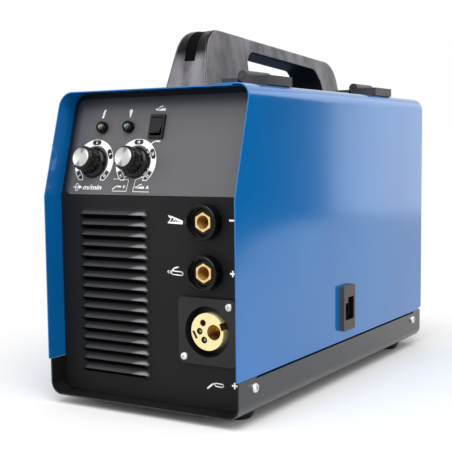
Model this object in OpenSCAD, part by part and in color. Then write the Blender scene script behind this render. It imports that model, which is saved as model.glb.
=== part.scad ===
// Portable wire-feed welding machine in a folded steel case.
// Millimetres, +Z up, the front looks along -Y, origin on the floor at the middle of the case.

/* [Case] */
// Width across the two side sheets
body_w = 230; // [220:1:260]
// Length of the side sheets, front to back
body_l = 483; // [470:1:540]
// Height from the tray's underside to the top of the fixed cover
body_h = 315; // [305:1:340]
// Thickness of the blue cover sheets
sheet_t = 1.2; // [0.8:0.1:1.6]
// Outside bend radius along the cover's top edges
bend_r = 14; // [8:1:18]
// Height at which the front edge starts to lean back
kink_z = 208; // [200:1:214]
// How far the front edge leans back by the top
front_lean = 31; // [20:1:36]
// Depth of the front panel behind the cover's front edge
panel_recess = 25; // [16:1:30]
// Depth of the rear panel behind the cover's rear edge
rear_recess = 26; // [24:1:34]
// Thickness of the front and rear panels
panel_t = 1.5; // [1:0.1:2]
// Depth of the folded rim behind the front and rear panels
rim_depth = 18; // [14:1:22]
// Width of the door's top, from the fixed cover's edge to the right side
door_top_w = 38.5; // [34:0.5:44]
// How far the fixed cover runs on under the door's top
cover_lap = 18; // [8:1:20]
// Play between separate bodies that lie against each other
gap = 0.3; // [0.2:0.05:0.4]

/* [Base tray] */
// Thickness of the tray's sheet
tray_t = 1.5; // [1:0.1:2]
// Height of the tray's side walls
tray_side_h = 35.2; // [30:0.1:36]
// Height of the four ears that carry the panel screws
ear_h = 37.1; // [36.5:0.1:42]
// Length of the front ears
ear_front_l = 33; // [26:1:44]
// Length of the rear ears
ear_rear_l = 25; // [20:1:44]
// Outside radius of the tray's lower edges
tray_r = 13; // [8:0.5:16]
// Distance of the tray's ends behind the cover's ends
tray_setback = 3.4; // [1:0.2:6]
// Distance of the ear screws behind the panel faces
ear_screw_in = 7; // [6:0.5:9]
// Height of the ear screws
ear_screw_z = 27; // [22:0.5:30]
// Head diameter of the pan-head screws
screw_head_d = 9.5; // [8:0.1:10]
// Head height of the pan-head screws
screw_head_h = 3.7; // [2.5:0.1:3.7]
// Thread diameter of the pan-head screws
screw_d = 5; // [4:0.5:5]

/* [Feet] */
// Height of the rubber feet
foot_h = 10; // [8:0.5:16]
// Diameter of a foot at the tray
foot_top_d = 32; // [26:1:36]
// Diameter of a foot at the floor
foot_low_d = 26; // [20:1:26]
// Distance of the feet from the side sheets
foot_in = 28; // [25:1:38]
// Distance of the front feet behind the cover's front edge
foot_front_y = 50; // [48:1:80]
// Distance of the rear feet ahead of the cover's rear edge
foot_rear_y = 52; // [40:1:80]

/* [Louvres] */
// Number of louvres
louvre_n = 16; // [8:1:16]
// Distance between louvres
louvre_pitch = 10.8; // [9:0.1:11]
// Height of the top louvre
louvre_top_z = 191.9; // [180:0.1:193]
// Length of each louvre
louvre_l = 88; // [60:1:92]
// Distance of the louvres' middle from the left side
louvre_in = 71; // [65:1:73]
// Height of each hood
louvre_h = 8.4; // [6:0.2:8.8]
// How far each hood stands out
louvre_d = 5; // [3:0.2:6]
// Thickness of the hoods
louvre_t = 1; // [0.8:0.1:1.4]

/* [Control panel] */
// Thickness of the grey overlay on the sloped part
overlay_t = 0.6; // [0.4:0.1:1]
// Width of bare panel on each side of the overlay
overlay_side = 7; // [7:0.5:12]
// Bare panel between the overlay and the top of the slope
overlay_top = 7.4; // [7:0.2:12]
// Place of the wire speed knob, as a share of the overlay's width from its middle
speed_share = -0.35; // [-0.36:0.005:-0.33]
// Place of the voltage knob, as a share of the overlay's width from its middle
voltage_share = -0.1; // [-0.115:0.005:-0.09]
// Height of the knobs up the slope, as a share of the overlay's height
knob_up = 0.337; // [0.3:0.001:0.36]
// Diameter of a knob's skirt
skirt_d = 33; // [28:0.5:36]
// Diameter of a knob's grip
grip_d = 25; // [20:0.5:26]
// Height of a knob's grip over the overlay
grip_h = 21; // [16:0.5:24]
// Diameter of the silver cap
cap_d = 20; // [14:0.5:20]
// Height of the silver cap
cap_h = 2.8; // [2:0.1:4]
// Diameter of the control shafts
pot_shaft_d = 6; // [4:0.5:6]
// Place of the left lamp, as a share of the overlay's width from its middle
lamp1_share = -0.324; // [-0.35:0.002:-0.3]
// Place of the right lamp, as a share of the overlay's width from its middle
lamp2_share = -0.168; // [-0.19:0.002:-0.15]
// Height of the lamps up the slope, as a share of the overlay's height
lamp_up = 0.697; // [0.67:0.001:0.76]
// Diameter of the lamp holders
lamp_d = 12.4; // [10:0.2:13]
// Diameter of the lamp lenses
lens_d = 8; // [5:0.5:8]
// How far the lamp holders stand out
lamp_h = 7.5; // [5:0.5:9]
// Place of the mode switch, as a share of the overlay's width from its middle
rocker_share = -0.005; // [-0.025:0.005:0.01]
// Height of the mode switch up the slope, as a share of the overlay's height
rocker_up = 0.695; // [0.66:0.001:0.76]

/* [Sockets] */
// Distance of the three sockets from the right side
socket_in = 46.7; // [45:0.1:49]
// Height of the upper, negative socket
negative_z = 185; // [184:1:187]
// Height of the lower, positive socket
positive_z = 136; // [134:1:140]
// Diameter of a current socket's collar
collar_d = 34.5; // [30:0.5:36]
// How far the collar stands out
collar_h = 13; // [10:0.5:15]
// Diameter of the bore in the brass contact
contact_bore_d = 13; // [9:0.5:13]
// Width across the flats of the brass contact
contact_af = 17; // [16:0.5:18]
// Height of the torch socket
euro_z = 78.3; // [76:0.1:80]
// Width of the torch socket's square flange
euro_w = 66; // [62:1:70]
// Thickness of the flange
euro_t = 3; // [2:0.5:4]
// Diameter of the round well in the flange
euro_well_d = 50; // [46:0.5:52]
// Depth of the well behind the panel's face
euro_well_depth = 14; // [10:0.5:18]
// Diameter of the brass block
euro_brass_d = 37; // [34:0.5:38]
// Diameter of the torch bore in the brass block
euro_bore_d = 15; // [12:0.5:15]
// Distance between the flange screws
euro_screw_pitch = 52; // [50:0.5:53]

/* [Handle] */
// Height of the nose's bend centre above the cover
nose_z = 35; // [30:1:42]
// Bend centre of the nose behind the cover's front edge
nose_y = 134.5; // [128:0.5:140]
// Bend centre of the rear post ahead of the cover's rear edge
tail_in = 93.5; // [88:0.5:110]
// Drop of the grip towards the rear
grip_drop = 16; // [8:1:18]
// Radius of the handle's two outer bends
handle_r = 30; // [26:1:32]
// Angle by which the front of the nose leans back
nose_lean = 17.6; // [10:0.2:22]
// Angle by which the rear post leans forward
tail_lean = 11.3; // [6:0.1:14]
// Half width of the handle where it meets the cover
handle_half_w = 24.7; // [22:0.1:27]
// Taper of each side per millimetre of height
handle_taper = 0.137; // [0.08:0.001:0.14]
// Wall thickness of the handle
handle_t = 3; // [2:0.1:4]
// Depth of the grip
grip_depth = 15.2; // [13:0.1:20]
// Thickness of the grip's underside and of the posts' inner walls
grip_web = 6; // [4:0.1:8]
// Width of the soft strip over the grip
strip_w = 13; // [8:0.5:14]
// Thickness of the side cheeks
cheek_t = 1.4; // [1:0.1:2]

/* [Hinges and latch] */
// Distance of the hinges from the cover's ends
hinge_in = 83; // [60:1:88]
// Length of a hinge
hinge_l = 50; // [40:1:60]
// Thickness of the hinge leaves
leaf_t = 9.5; // [6:0.5:10]
// Outer radius of the hinge barrel
barrel_r = 5.6; // [4.5:0.1:6]
// Diameter of the hinge pin
hinge_pin_d = 4; // [3:0.5:5]
// Reach of the fixed leaf, left of the axis
leaf_fixed_w = 24; // [18:0.5:26]
// Reach of the door leaf, right of the axis
leaf_door_w = 29.5; // [20:0.5:29.5]
// Height of the hinge axis above the door's top
hinge_axis_up = 9.8; // [8.5:0.1:11]
// Middle of the latch behind the cover's front edge
latch_y = 240; // [200:1:300]
// Middle of the latch above the tray's underside
latch_z = 74.4; // [70:0.1:90]
// Width of the latch plate
latch_w = 30; // [28:1:36]
// Height of the latch plate
latch_h = 50.7; // [48:0.1:60]
// How far the latch plate stands out of the door
latch_proud = 5.5; // [4:0.1:7]
// Travel of the latch slider
latch_travel = 8; // [5:0.5:9]

/* [Wire feed] */
// Width of the wire bay, from the divider to the right side
bay_w = 87; // [85:0.5:91]
// Outside diameter of the wire spool
spool_d = 200; // [180:1:200]
// Width of the wire spool
spool_w = 53; // [45:1:54]
// Bore of the wire spool
spool_bore_d = 51; // [50.5:0.1:52]
// Distance of the spool's axis ahead of the rear panel
spool_back = 122; // [112:1:130]
// Height of the spool's axis
spool_z = 172; // [160:1:180]
// Diameter of the drive and pressure rolls
roll_d = 30; // [26:0.5:30]
// Width of the rolls
roll_w = 12; // [8:0.5:12]
// Diameter of the welding wire
wire_d = 0.8; // [0.6:0.1:1.2]
// Distance of the rolls behind the front panel
roll_back = 85; // [82:1:95]

/* [Cooling] */
// Clearance on each side of the square fan
fan_side = 11.5; // [11:0.5:20]
// Depth of the fan
fan_l = 38; // [25:1:38]
// Height of the fan's lower edge
fan_low = 14; // [10:1:30]
// Height of the heat sinks
sink_h = 88; // [60:1:92]
// Length of the heat sinks
sink_l = 220; // [150:1:240]

/* [Hidden] */
$fn = 48;
hw = body_w / 2;
eps = 0.01;
split_x = hw - door_top_w;
foot_x = hw - foot_in;
louvre_x = louvre_in - hw;
louvre_end_r = 8;
louvre_straight = louvre_l - 2 * sqrt(pow(louvre_end_r, 2) - pow(louvre_end_r - louvre_d, 2));
overlay_w = body_w - 2 * overlay_side;
speed_x = speed_share * overlay_w;
voltage_x = voltage_share * overlay_w;
lamp1_x = lamp1_share * overlay_w;
lamp2_x = lamp2_share * overlay_w;
rocker_x = rocker_share * overlay_w;
socket_x = hw - socket_in;
divider_x = hw - bay_w;
fan_w = hw + divider_x - 2 * fan_side;
fan_x = (divider_x - hw) / 2;
fan_z = fan_low + fan_w / 2;
slope_l = sqrt(pow(body_h - kink_z, 2) + pow(front_lean, 2));
overlay_low = 1;
overlay_h = slope_l - overlay_low - overlay_top;
knob_s = knob_up * overlay_h;
lamp_s = lamp_up * overlay_h;
rocker_s = rocker_up * overlay_h;
grip_l = body_l - nose_y - tail_in;
lean_a = atan(front_lean / (body_h - kink_z));
cover_z0 = ear_h + gap;
door_top = body_h + gap + sheet_t;
cover_end = split_x + cover_lap;
ear_top_y = [tray_setback, body_l - tray_setback - ear_rear_l];
panel_w = body_w - 2 * tray_t - 2 * gap;
panel_z0 = tray_t + gap;
panel_top = body_h - sheet_t - gap;
panel_corner = max(bend_r, tray_r) - 0.5;
rear_face = body_l - rear_recess;
rear_in = rear_face - panel_t;
lap_h = 12;
lap_y0 = front_lean + panel_recess + rim_depth + 4;
lap_y1 = rear_face - rim_depth - 2;
hole_play = 0.1;
screw_hole_r = screw_d / 2 + hole_play;
small_screw_d = 4;
// hinge
axis_x = split_x - 1.3;
axis_z = door_top + hinge_axis_up;
knuckle_n = 5;
knuckle_l = hinge_l / knuckle_n;
leaf_screw_d = 5;
hinge_ys = [hinge_in, body_l - hinge_in - hinge_l];
// controls, in the sloped panel's own frame
knob_floor = overlay_t + 0.4;
bush_r = pot_shaft_d / 2 + 1.2;
pot_body_d = 17;
pot_body_l = 9;
pot_depth = 3;
board_t = 1.6;
board_side = 18.5;
board_edge = 15.4;
rocker_w = 12.2;
rocker_l = 16.4;
rocker_tilt = 10;
rocker_pivot = 1.6;
frame_w = 17.6;
frame_l = 24.7;
frame_h = 3.2;
rocker_tub = 13;
// current sockets
contact_sink = 5.2;
contact_l = 27.8;
well_floor = collar_h - contact_sink - 1.2;
socket_neck_d = 26;
contact_hex_r = contact_af / 2 / cos(30);
contact_play = 0.15;
// torch socket
euro_wall = 2;
euro_neck_d = 16;
euro_boss_d = 34;
euro_bore_x = 7.5;
euro_face = -2.3;
euro_port_end = 11;
// handle
grip_fall = atan(grip_drop / grip_l);
bend1 = [nose_y, nose_z];
bend2 = [nose_y + grip_l, nose_z - grip_drop];
under_f_r = 14;
under_r_r = 24;
nose_l = 69.5;
post_l = 42.5;
post_lean = 13.6;
handle_screw_ys = [nose_y - 10, nose_y + 26, nose_y + grip_l + 4];
strip_t = 2;
boss_d = 10;
// latch
pocket_w = 22;
pocket_h = 25.5;
pocket_z = latch_z - 0.7;
slot_w = 16;
tongue_t = 4;
tongue_low = tray_side_h - latch_travel + 1;
// wire feed
divider_t = 1.2;
bay_x = divider_x + divider_t;
wire_y = panel_recess + roll_back;
drive_z = euro_z - wire_d / 2 - roll_d / 2;
press_z = euro_z + wire_d / 2 + roll_d / 2;
wire_x = socket_x + euro_bore_x;
plate_x = wire_x - roll_w / 2 - 15;
plate_t = 8;
plate_front = 46;
plate_l = 100;
arm_x = plate_x + plate_t + gap;
arm_t = 5;
arm_pivot = [wire_y + 38, press_z + 4];
lever_pivot = [wire_y - 34, euro_z + 13];
lever_bar_d = 8;
lever_rod_d = 6;
lever_swing = 50;
tab_top = press_z + 13;
lever_l = tab_top + 1 - lever_pivot[1];
plate_z0 = euro_z - 48;
plate_z1 = euro_z + 32;
motor_d = 54;
motor_l = 62;
gear_w = 44;
shaft_play = 0.05;
drive_shaft_d = 10;
roll_shaft_d = 8;
spool_y = rear_in - spool_back;
spool_x0 = socket_x - spool_w / 2;
spindle_d = 14;
hub_d = spool_bore_d - 0.4;
spool_barrel_d = 104;
winding_d = spool_d - 18;
spool_rim_t = 3.5;
nut_d = 66;
nut_t = 9;
// cooling and power parts
fan_y = rear_in - fan_l;
fan_bore_d = fan_w - 6;
fan_hub_d = 48;
rotor_d = fan_bore_d - 4;
sink_y = fan_y - 12 - sink_l;
sink_w = 44;
core_w = 56;
core_l = 64;
core_h = 48;
choke_d = 60;
can_d = 35;
can_h = 50;
sink_z = tray_t + gap;
board_z = sink_z + sink_h + gap;
gas_x = socket_x;
gas_z = 46;
switch_in = 53;
switch_x = hw - switch_in;
switch_down = 35;
switch_z = body_h - switch_down;
gland_in = 73;
gland_x = gland_in - hw;
gland_down = 65;
gland_z = body_h - gland_down;

module placed() translate([(screw_head_h - latch_proud) / 2, -body_l / 2, foot_h]) children();

// a flat outline drawn in X and Z, pushed along Y
module along_y(y0, len)
    translate([0, y0 + len, 0]) rotate([90, 0, 0]) linear_extrude(len) children();

// a flat outline drawn in Y and Z, pushed along X
module along_x(x0, len)
    translate([x0, 0, 0]) rotate([90, 0, 90]) linear_extrude(len) children();

module rod_y(x, y0, z, d, len)
    translate([x, y0, z]) rotate([-90, 0, 0]) cylinder(d = d, h = len);

module rod_x(x0, y, z, d, len)
    translate([x0, y, z]) rotate([0, 90, 0]) cylinder(d = d, h = len);

module round_rect(w, h, r) {
    square([w - 2 * r, h], center = true);
    square([w, h - 2 * r], center = true);
    for (sx = [-1, 1], sz = [-1, 1])
        translate([sx * (w / 2 - r), sz * (h / 2 - r)]) circle(r);
}

// the sloped control face: X across, Y up the slope, Z out of the panel
module on_slope(x, s, out = 0)
    translate([x, panel_recess + s * sin(lean_a), kink_z + s * cos(lean_a)])
        rotate([90 - lean_a, 0, 0]) translate([0, 0, out]) children();

function arc(c, r, a0, a1, n = 8) =
    [for (i = [0 : n]) c + r * [cos(a0 + (a1 - a0) * i / n), sin(a0 + (a1 - a0) * i / n)]];

// ---------- case ----------

module cradle(w, r, h) {
    translate([-w / 2, r]) square([w, h - r]);
    translate([r - w / 2, 0]) square([w - 2 * r, r + eps]);
    for (s = [-1, 1]) translate([s * (w / 2 - r), r]) circle(r);
}

module tray_wall(h) {
    difference() {
        cradle(body_w, tray_r, h);
        translate([0, tray_t]) cradle(body_w - 2 * tray_t, tray_r - tray_t, h);
    }
}

module at_feet()
    for (s = [-1, 1], y = [foot_front_y, body_l - foot_rear_y]) translate([s * foot_x, y, 0]) children();

module at_ear_screws()
    for (s = [-1, 1], y = [panel_recess + ear_screw_in, rear_face - ear_screw_in])
        translate([s * hw, y, ear_screw_z]) rotate([0, s * 90, 0]) children();

module base_tray() color("#55565a") placed() difference() {
    union() {
        along_y(tray_setback, body_l - 2 * tray_setback) tray_wall(tray_side_h);
        along_y(ear_top_y[0], ear_front_l) tray_wall(ear_h);
        along_y(ear_top_y[1], ear_rear_l) tray_wall(ear_h);
    }
    at_feet() translate([0, 0, -eps]) cylinder(d = small_screw_d + 2 * hole_play, h = tray_t + 2 * eps);
    at_ear_screws() translate([0, 0, -tray_t - 1]) cylinder(r = screw_hole_r, h = tray_t + 2);
}

module rubber_feet() color("#1b1b1c") placed() at_feet() difference() {
    rotate_extrude() polygon([[0, -foot_h], [foot_low_d / 2 - 2, -foot_h], [foot_low_d / 2, 2 - foot_h],
        [foot_top_d / 2, -1.5], [foot_top_d / 2, 0], [0, 0]]);
    translate([0, 0, -foot_h - eps]) cylinder(d = 10, h = foot_h - 3);
    translate([0, 0, -foot_h]) cylinder(d = small_screw_d + 2 * hole_play, h = foot_h + eps);
}

module foot_screws() color("#b9bcc0") placed() at_feet() {
    translate([0, 0, -3]) cylinder(d = small_screw_d, h = tray_t + 9);
    translate([0, 0, -5.62]) cylinder(d = 8, h = 2.6);
    translate([0, 0, tray_t + gap]) cylinder(d = 8, h = 3.2, $fn = 6);
}

module pan_head(d, head_d, head_h, len) {
    translate([0, 0, -len]) cylinder(d = d, h = len + eps);
    difference() {
        rotate_extrude() polygon([[0, 0], [head_d / 2, 0], [head_d / 2, head_h * 0.4],
            [head_d / 2 - head_h * 0.12, head_h * 0.66], [head_d / 2 - head_h * 0.34, head_h * 0.87],
            [head_d / 2 - head_h * 0.66, head_h], [0, head_h]]);
        for (a = [0, 90]) rotate(a)
            translate([-head_d * 0.26, -0.6, head_h * 0.45]) cube([head_d * 0.52, 1.2, head_h]);
    }
}

module ear_screws() color("#c8cace") placed() at_ear_screws()
    pan_head(screw_d, screw_head_d, screw_head_h, tray_t + panel_t + 5);

module side_outline(top)
    polygon([[0, 0], [0, kink_z], [tan(lean_a) * (top - kink_z), top], [body_l, top], [body_l, 0]]);

// an outer corner at the origin: one wall goes down, the other to the right
module folded(len_x, height, r, t) {
    difference() {
        corner_block(len_x, height, r);
        translate([t, -t]) corner_block(len_x, height, r - t);
    }
}

module corner_block(len_x, height, r) {
    translate([r, -height]) square([len_x - r, height]);
    translate([0, -height]) square([r + eps, height - r]);
    translate([r, -r]) circle(r);
}

module main_cover() color("#0b66b5") placed() difference() {
    union() {
        translate([cover_end - sheet_t, lap_y0, body_h - lap_h]) cube([sheet_t, lap_y1 - lap_y0, lap_h]);
        intersection() {
            along_y(0, body_l)
                translate([-hw, body_h]) folded(hw + cover_end, body_h - cover_z0, bend_r, sheet_t);
            along_x(-hw - 1, body_w + 2) side_outline(body_h + 1);
        }
    }
    for (y = handle_screw_ys) translate([0, y, body_h - 5]) cylinder(r = screw_hole_r, h = 10);
    for (y = hinge_ys, k = [0.22, 0.78]) translate([axis_x - leaf_fixed_w + 7, y + hinge_l * k, body_h - 5])
        cylinder(d = small_screw_d + 2 * hole_play, h = 10);
}

module side_door() color("#0b66b5") placed() difference() {
    intersection() {
        along_y(0, body_l) mirror([1, 0]) translate([-hw, door_top])
            folded(hw - split_x, door_top - cover_z0, bend_r + gap + sheet_t, sheet_t);
        along_x(-hw - 1, body_w + 2) side_outline(door_top + 1);
    }
    translate([hw - 5, latch_y - latch_w / 2 + 3, latch_z - latch_h / 2 + 3])
        cube([10, latch_w - 6, latch_h - 6]);
    along_x(hw - 5, 10) polygon([[body_l - 14, cover_z0 - eps], [body_l + 1, cover_z0 - eps],
        [body_l + 1, cover_z0 + 3.4]]);
    for (y = hinge_ys, k = [0.22, 0.78]) translate([axis_x + leaf_door_w - 7, y + hinge_l * k, body_h - 5])
        cylinder(d = small_screw_d + 2 * hole_play, h = 10);
}

module panel_outline(inset = 0)
    translate([0, (panel_z0 + panel_top) / 2])
        round_rect(panel_w - 2 * inset, panel_top - panel_z0 - 2 * inset, panel_corner - inset);

// a strip that follows the front panel's fold, as deep as asked
module front_strip(depth)
    along_x(-hw, body_w) translate([panel_recess, 0]) polygon([[0, 0], [0, kink_z],
        [tan(lean_a) * (body_h - kink_z), body_h], [tan(lean_a) * (body_h - kink_z) + depth, body_h],
        [depth, kink_z], [depth, 0]]);

// a scooped hood with rounded ends, open below
module louvre_hood() {
    brow = 0.3;
    outer = [for (t = [0 : 1 / 3 : 1.01]) [brow + (louvre_d - brow) * pow(t, 1.25), louvre_h * (0.5 - t)]];
    inner = [for (i = [3 : -1 : 0]) outer[i] - [louvre_t, 0]];
    turn = louvre_end_r - louvre_d;
    translate([louvre_x, 0, 0]) {
        along_x(-louvre_straight / 2, louvre_straight) mirror([1, 0]) polygon(concat(outer, inner));
        for (side = [-1, 1]) translate([side * louvre_straight / 2, turn, 0]) intersection() {
            rotate(side < 0 ? 180 : 270) rotate_extrude(angle = 90)
                polygon([for (p = concat(outer, inner)) p + [turn, 0]]);
            translate([-10, -10 - turn, -10]) cube([20, 10.5, 20]);
        }
    }
}

module louvre_slot()
    translate([louvre_x - louvre_straight / 2, -eps, -louvre_h / 2])
        cube([louvre_straight, panel_t + 2 * eps, louvre_h * 0.6]);

module at_louvres()
    for (i = [0 : louvre_n - 1]) translate([0, panel_recess, louvre_top_z - i * louvre_pitch]) children();

module control_holes(grow = 0) {
    for (x = [speed_x, voltage_x]) on_slope(x, knob_s, -5) cylinder(r = bush_r + hole_play + grow, h = 10);
    for (x = [lamp1_x, lamp2_x]) on_slope(x, lamp_s, -5) cylinder(r = lens_d / 2 + 1.1 + hole_play + grow, h = 10);
    on_slope(rocker_x, rocker_s, -5) translate([-(rocker_w + 3) / 2 - grow, -(frame_l - 1.5) / 2 - grow, 0])
        cube([rocker_w + 3 + 2 * grow, frame_l - 1.5 + 2 * grow, 10]);
}

module front_panel() color("#26272a") placed() difference() {
    union() {
        intersection() {
            front_strip(panel_t);
            along_y(0, body_l / 2) panel_outline();
        }
        intersection() {
            front_strip(rim_depth);
            along_y(0, body_l / 2) difference() {
                panel_outline();
                panel_outline(panel_t);
            }
        }
        at_louvres() louvre_hood();
    }
    at_louvres() louvre_slot();
    control_holes();
    for (z = [negative_z, positive_z]) rod_y(socket_x, panel_recess - 5, z, socket_neck_d + 2 * hole_play, 10);
    rod_y(socket_x, panel_recess - 5, euro_z, euro_well_d + 2 * euro_wall + 2 * hole_play, 10);
    at_torch_screws() rod_y(0, -5, 0, small_screw_d + 2 * hole_play, 10);
    at_ear_screws() translate([0, 0, -15]) cylinder(r = screw_hole_r, h = 15);
}

module front_overlay() color("#77787c") placed() difference() {
    on_slope(0, overlay_low + overlay_h / 2) linear_extrude(overlay_t) round_rect(overlay_w, overlay_h, 8);
    control_holes(0.4);
}

module rear_panel() color("#26272a") placed() difference() {
    along_y(rear_in, panel_t) panel_outline();
    rod_y(fan_x, rear_in - 1, fan_z, fan_bore_d, 5);
    at_fan_corners() rod_y(0, rear_in - 1, 0, small_screw_d + 2 * hole_play, 5);
    rod_y(gas_x, rear_in - 1, gas_z, 12 + 2 * hole_play, 5);
    rod_y(gland_x, rear_in - 1, gland_z, 20 + 2 * hole_play, 5);
    translate([switch_x - 11, rear_in - 1, switch_z - 14]) cube([22, 5, 28]);
}

// the four folds behind the rear panel, open at its corners
module rear_flanges() color("#26272a") placed() difference() {
    for (s = [-1, 1]) {
        translate([s * (panel_w - panel_t) / 2 - panel_t / 2, rear_face - rim_depth, panel_z0 + panel_corner])
            cube([panel_t, rim_depth - panel_t, panel_top - panel_z0 - 2 * panel_corner]);
        translate([panel_corner - panel_w / 2, rear_face - rim_depth, s > 0 ? panel_top - panel_t : panel_z0])
            cube([panel_w - 2 * panel_corner, rim_depth - panel_t, panel_t]);
    }
    at_ear_screws() translate([0, 0, -15]) cylinder(r = screw_hole_r, h = 15);
}

// ---------- hinges and latch ----------

module at_hinges() for (y = hinge_ys) translate([axis_x, y, axis_z]) children();

module leaf_screws_2d(x) for (k = [0.22, 0.78]) translate([x, hinge_l * k]) circle(d = small_screw_d + 2 * hole_play);

module leaf(x0, x1, z0, screw_x) {
    difference() {
        translate([x0, 0, z0]) cube([x1 - x0, hinge_l, leaf_t]);
        translate([0, 0, z0 - 1]) linear_extrude(leaf_t + 2) leaf_screws_2d(screw_x);
        rod_y(0, -1, 0, 2 * (barrel_r + gap), hinge_l + 2);
    }
    translate([0, 0, z0]) linear_extrude(leaf_t - 2) leaf_screws_2d(screw_x);
}

// the knuckles of one leaf, each with its own web to the leaf
module knuckles(list, side, z0) for (i = list) translate([0, i * knuckle_l + 0.1, 0]) {
    rod_y(0, 0, 0, 2 * barrel_r, knuckle_l - 0.2);
    translate([side > 0 ? 0 : -barrel_r - gap - 1, 0, z0])
        cube([barrel_r + gap + 1, knuckle_l - 0.2, min(leaf_t, -z0)]);
}

module hinge_fixed_leaves() color("#3b3b3e") placed() at_hinges() difference() {
    union() {
        leaf(-leaf_fixed_w, -barrel_r, body_h - axis_z + eps, 7 - leaf_fixed_w);
        knuckles([1, 3], -1, body_h - axis_z + eps);
    }
    rod_y(0, -1, 0, hinge_pin_d + 2 * shaft_play, hinge_l + 2);
}

module hinge_door_leaves() color("#3b3b3e") placed() at_hinges() difference() {
    union() {
        leaf(barrel_r, leaf_door_w, door_top - axis_z + eps, leaf_door_w - 7);
        knuckles([0, 2, 4], 1, door_top - axis_z + eps);
    }
    rod_y(0, -1, 0, hinge_pin_d, hinge_l + 2);
}

module hinge_pins() color("#b9bcc0") placed() at_hinges() rod_y(0, -0.6, 0, hinge_pin_d, hinge_l + 1.2);

module latch_pocket()
    translate([hw - 5, latch_y - pocket_w / 2, pocket_z - pocket_h / 2]) cube([20, pocket_w, pocket_h]);

module latch_body() color("#66645f") placed() difference() {
    union() {
        along_x(hw, latch_proud) translate([latch_y, latch_z]) round_rect(latch_w, latch_h, 2);
        along_x(hw - 9, 9 + eps) translate([latch_y, latch_z]) square([latch_w - 6.4, latch_h - 6.4], center = true);
    }
    difference() {
        latch_pocket();
        translate([hw + 2, latch_y - pocket_w / 2 - 1, pocket_z + pocket_h / 2 - 6]) cube([5, 8, 8]);
    }
    translate([hw - 9 - eps, latch_y - slot_w / 2, 0]) cube([4 + 2 * eps, slot_w, latch_z + latch_h / 2 - 6]);
}

module latch_slider() color("#141415") placed() {
    translate([hw - 9 + gap, latch_y - slot_w / 2 + gap, tongue_low])
        cube([tongue_t - 2 * gap, slot_w - 2 * gap, pocket_z + 8 - tongue_low]);
    translate([hw - 6, latch_y - slot_w / 2 + gap, pocket_z - pocket_h / 2 + gap])
        cube([2, slot_w - 2 * gap, pocket_h - latch_travel - 2 * gap]);
    difference() {
        translate([hw - 5 + gap - eps, latch_y - pocket_w / 2 + gap, pocket_z - pocket_h / 2 + gap])
            cube([5, pocket_w - 2 * gap, pocket_h - latch_travel - 2 * gap]);
        rod_y(hw + 4, latch_y - 8, pocket_z - 3, 14, 16);
    }
}

// ---------- handle ----------

// outer outline of the handle, drawn in Y and Z above the cover, drawn in by d
function handle_line(d) = concat(
    [bend1 + (handle_r - d) * [-cos(nose_lean), sin(nose_lean)] - 60 * [sin(nose_lean), cos(nose_lean)]],
    arc(bend1, handle_r - d, 180 - nose_lean, 90 - grip_fall),
    arc(bend2, handle_r - d, 90 - grip_fall, tail_lean),
    [bend2 + (handle_r - d) * [cos(tail_lean), sin(tail_lean)] + 60 * [sin(tail_lean), -cos(tail_lean)]]);

// the hand's gap under the grip
function hand_gap_line(d = 0) = let (
    down = handle_r - grip_depth,
    c1 = bend1 + (down - under_f_r) * [sin(grip_fall), cos(grip_fall)] + nose_l * [1, -tan(grip_fall)],
    c2 = bend2 + (down - under_r_r) * [sin(grip_fall), cos(grip_fall)] - post_l * [1, -tan(grip_fall)])
    concat([c1 + (under_f_r + d) * [-cos(post_lean), sin(post_lean)] - 60 * [sin(post_lean), cos(post_lean)]],
        arc(c1, under_f_r + d, 180 - post_lean, 90 - grip_fall),
        arc(c2, under_r_r + d, 90 - grip_fall, tail_lean),
        [c2 + (under_r_r + d) * [cos(tail_lean), sin(tail_lean)] + 60 * [sin(tail_lean), -cos(tail_lean)]]);

module handle_section(half_w, z0 = 0)
    polygon([[-half_w + handle_taper * z0, z0], [half_w - handle_taper * z0, z0],
        [half_w - handle_taper * 90, 90], [-half_w + handle_taper * 90, 90]]);

module handle_slab(d, half_w) intersection() {
    along_x(-40, 80) polygon(handle_line(d));
    along_y(0, body_l) handle_section(half_w);
}

module on_cover() placed() translate([0, 0, body_h]) children();

module handle_shell() color("#6f6d6b") on_cover() difference() {
    union() {
        difference() {
            handle_slab(0, handle_half_w);
            difference() {
                handle_slab(handle_t, handle_half_w - handle_t);
                along_x(-hw, body_w) polygon(hand_gap_line(grip_web));
                for (y = handle_screw_ys) translate([-40, y - 1.5, 0]) cube([80, 3, 90]);
            }
        }
        for (y = handle_screw_ys) translate([0, y, 0]) cylinder(d = boss_d, h = 22);
    }
    along_x(-40, 80) polygon(hand_gap_line());
    for (y = handle_screw_ys) translate([0, y, -1]) cylinder(d = screw_d, h = 16);
    intersection() {
        translate([0, 0, nose_z - 4]) along_x(-strip_w / 2 - hole_play, strip_w + 2 * hole_play)
            translate([0, -nose_z + 4]) difference() {
                polygon(handle_line(-1));
                polygon(handle_line(strip_t));
            }
        translate([-40, 0, nose_z - 4]) cube([80, nose_y + grip_l - 10, 90]);
    }
}

module handle_strip() color("#101011") on_cover() intersection() {
    along_x(-strip_w / 2, strip_w) difference() {
        polygon(handle_line(0.6));
        polygon(handle_line(strip_t));
    }
    translate([-40, 0, nose_z - 4 + hole_play]) cube([80, nose_y + grip_l - 10 - hole_play, 90]);
}

module cheek_slab() intersection() {
    along_x(-hw, body_w) difference() {
        polygon(handle_line(0.8));
        translate([nose_y + 52, -body_h]) square([body_l, 2 * body_h]);
        polygon(hand_gap_line());
    }
    along_y(0, body_l) handle_section(handle_half_w + cheek_t);
}

module handle_cheeks() color("#7b7977") on_cover() difference() {
    cheek_slab();
    along_y(0, body_l) handle_section(handle_half_w + eps, -20);
}

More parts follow.
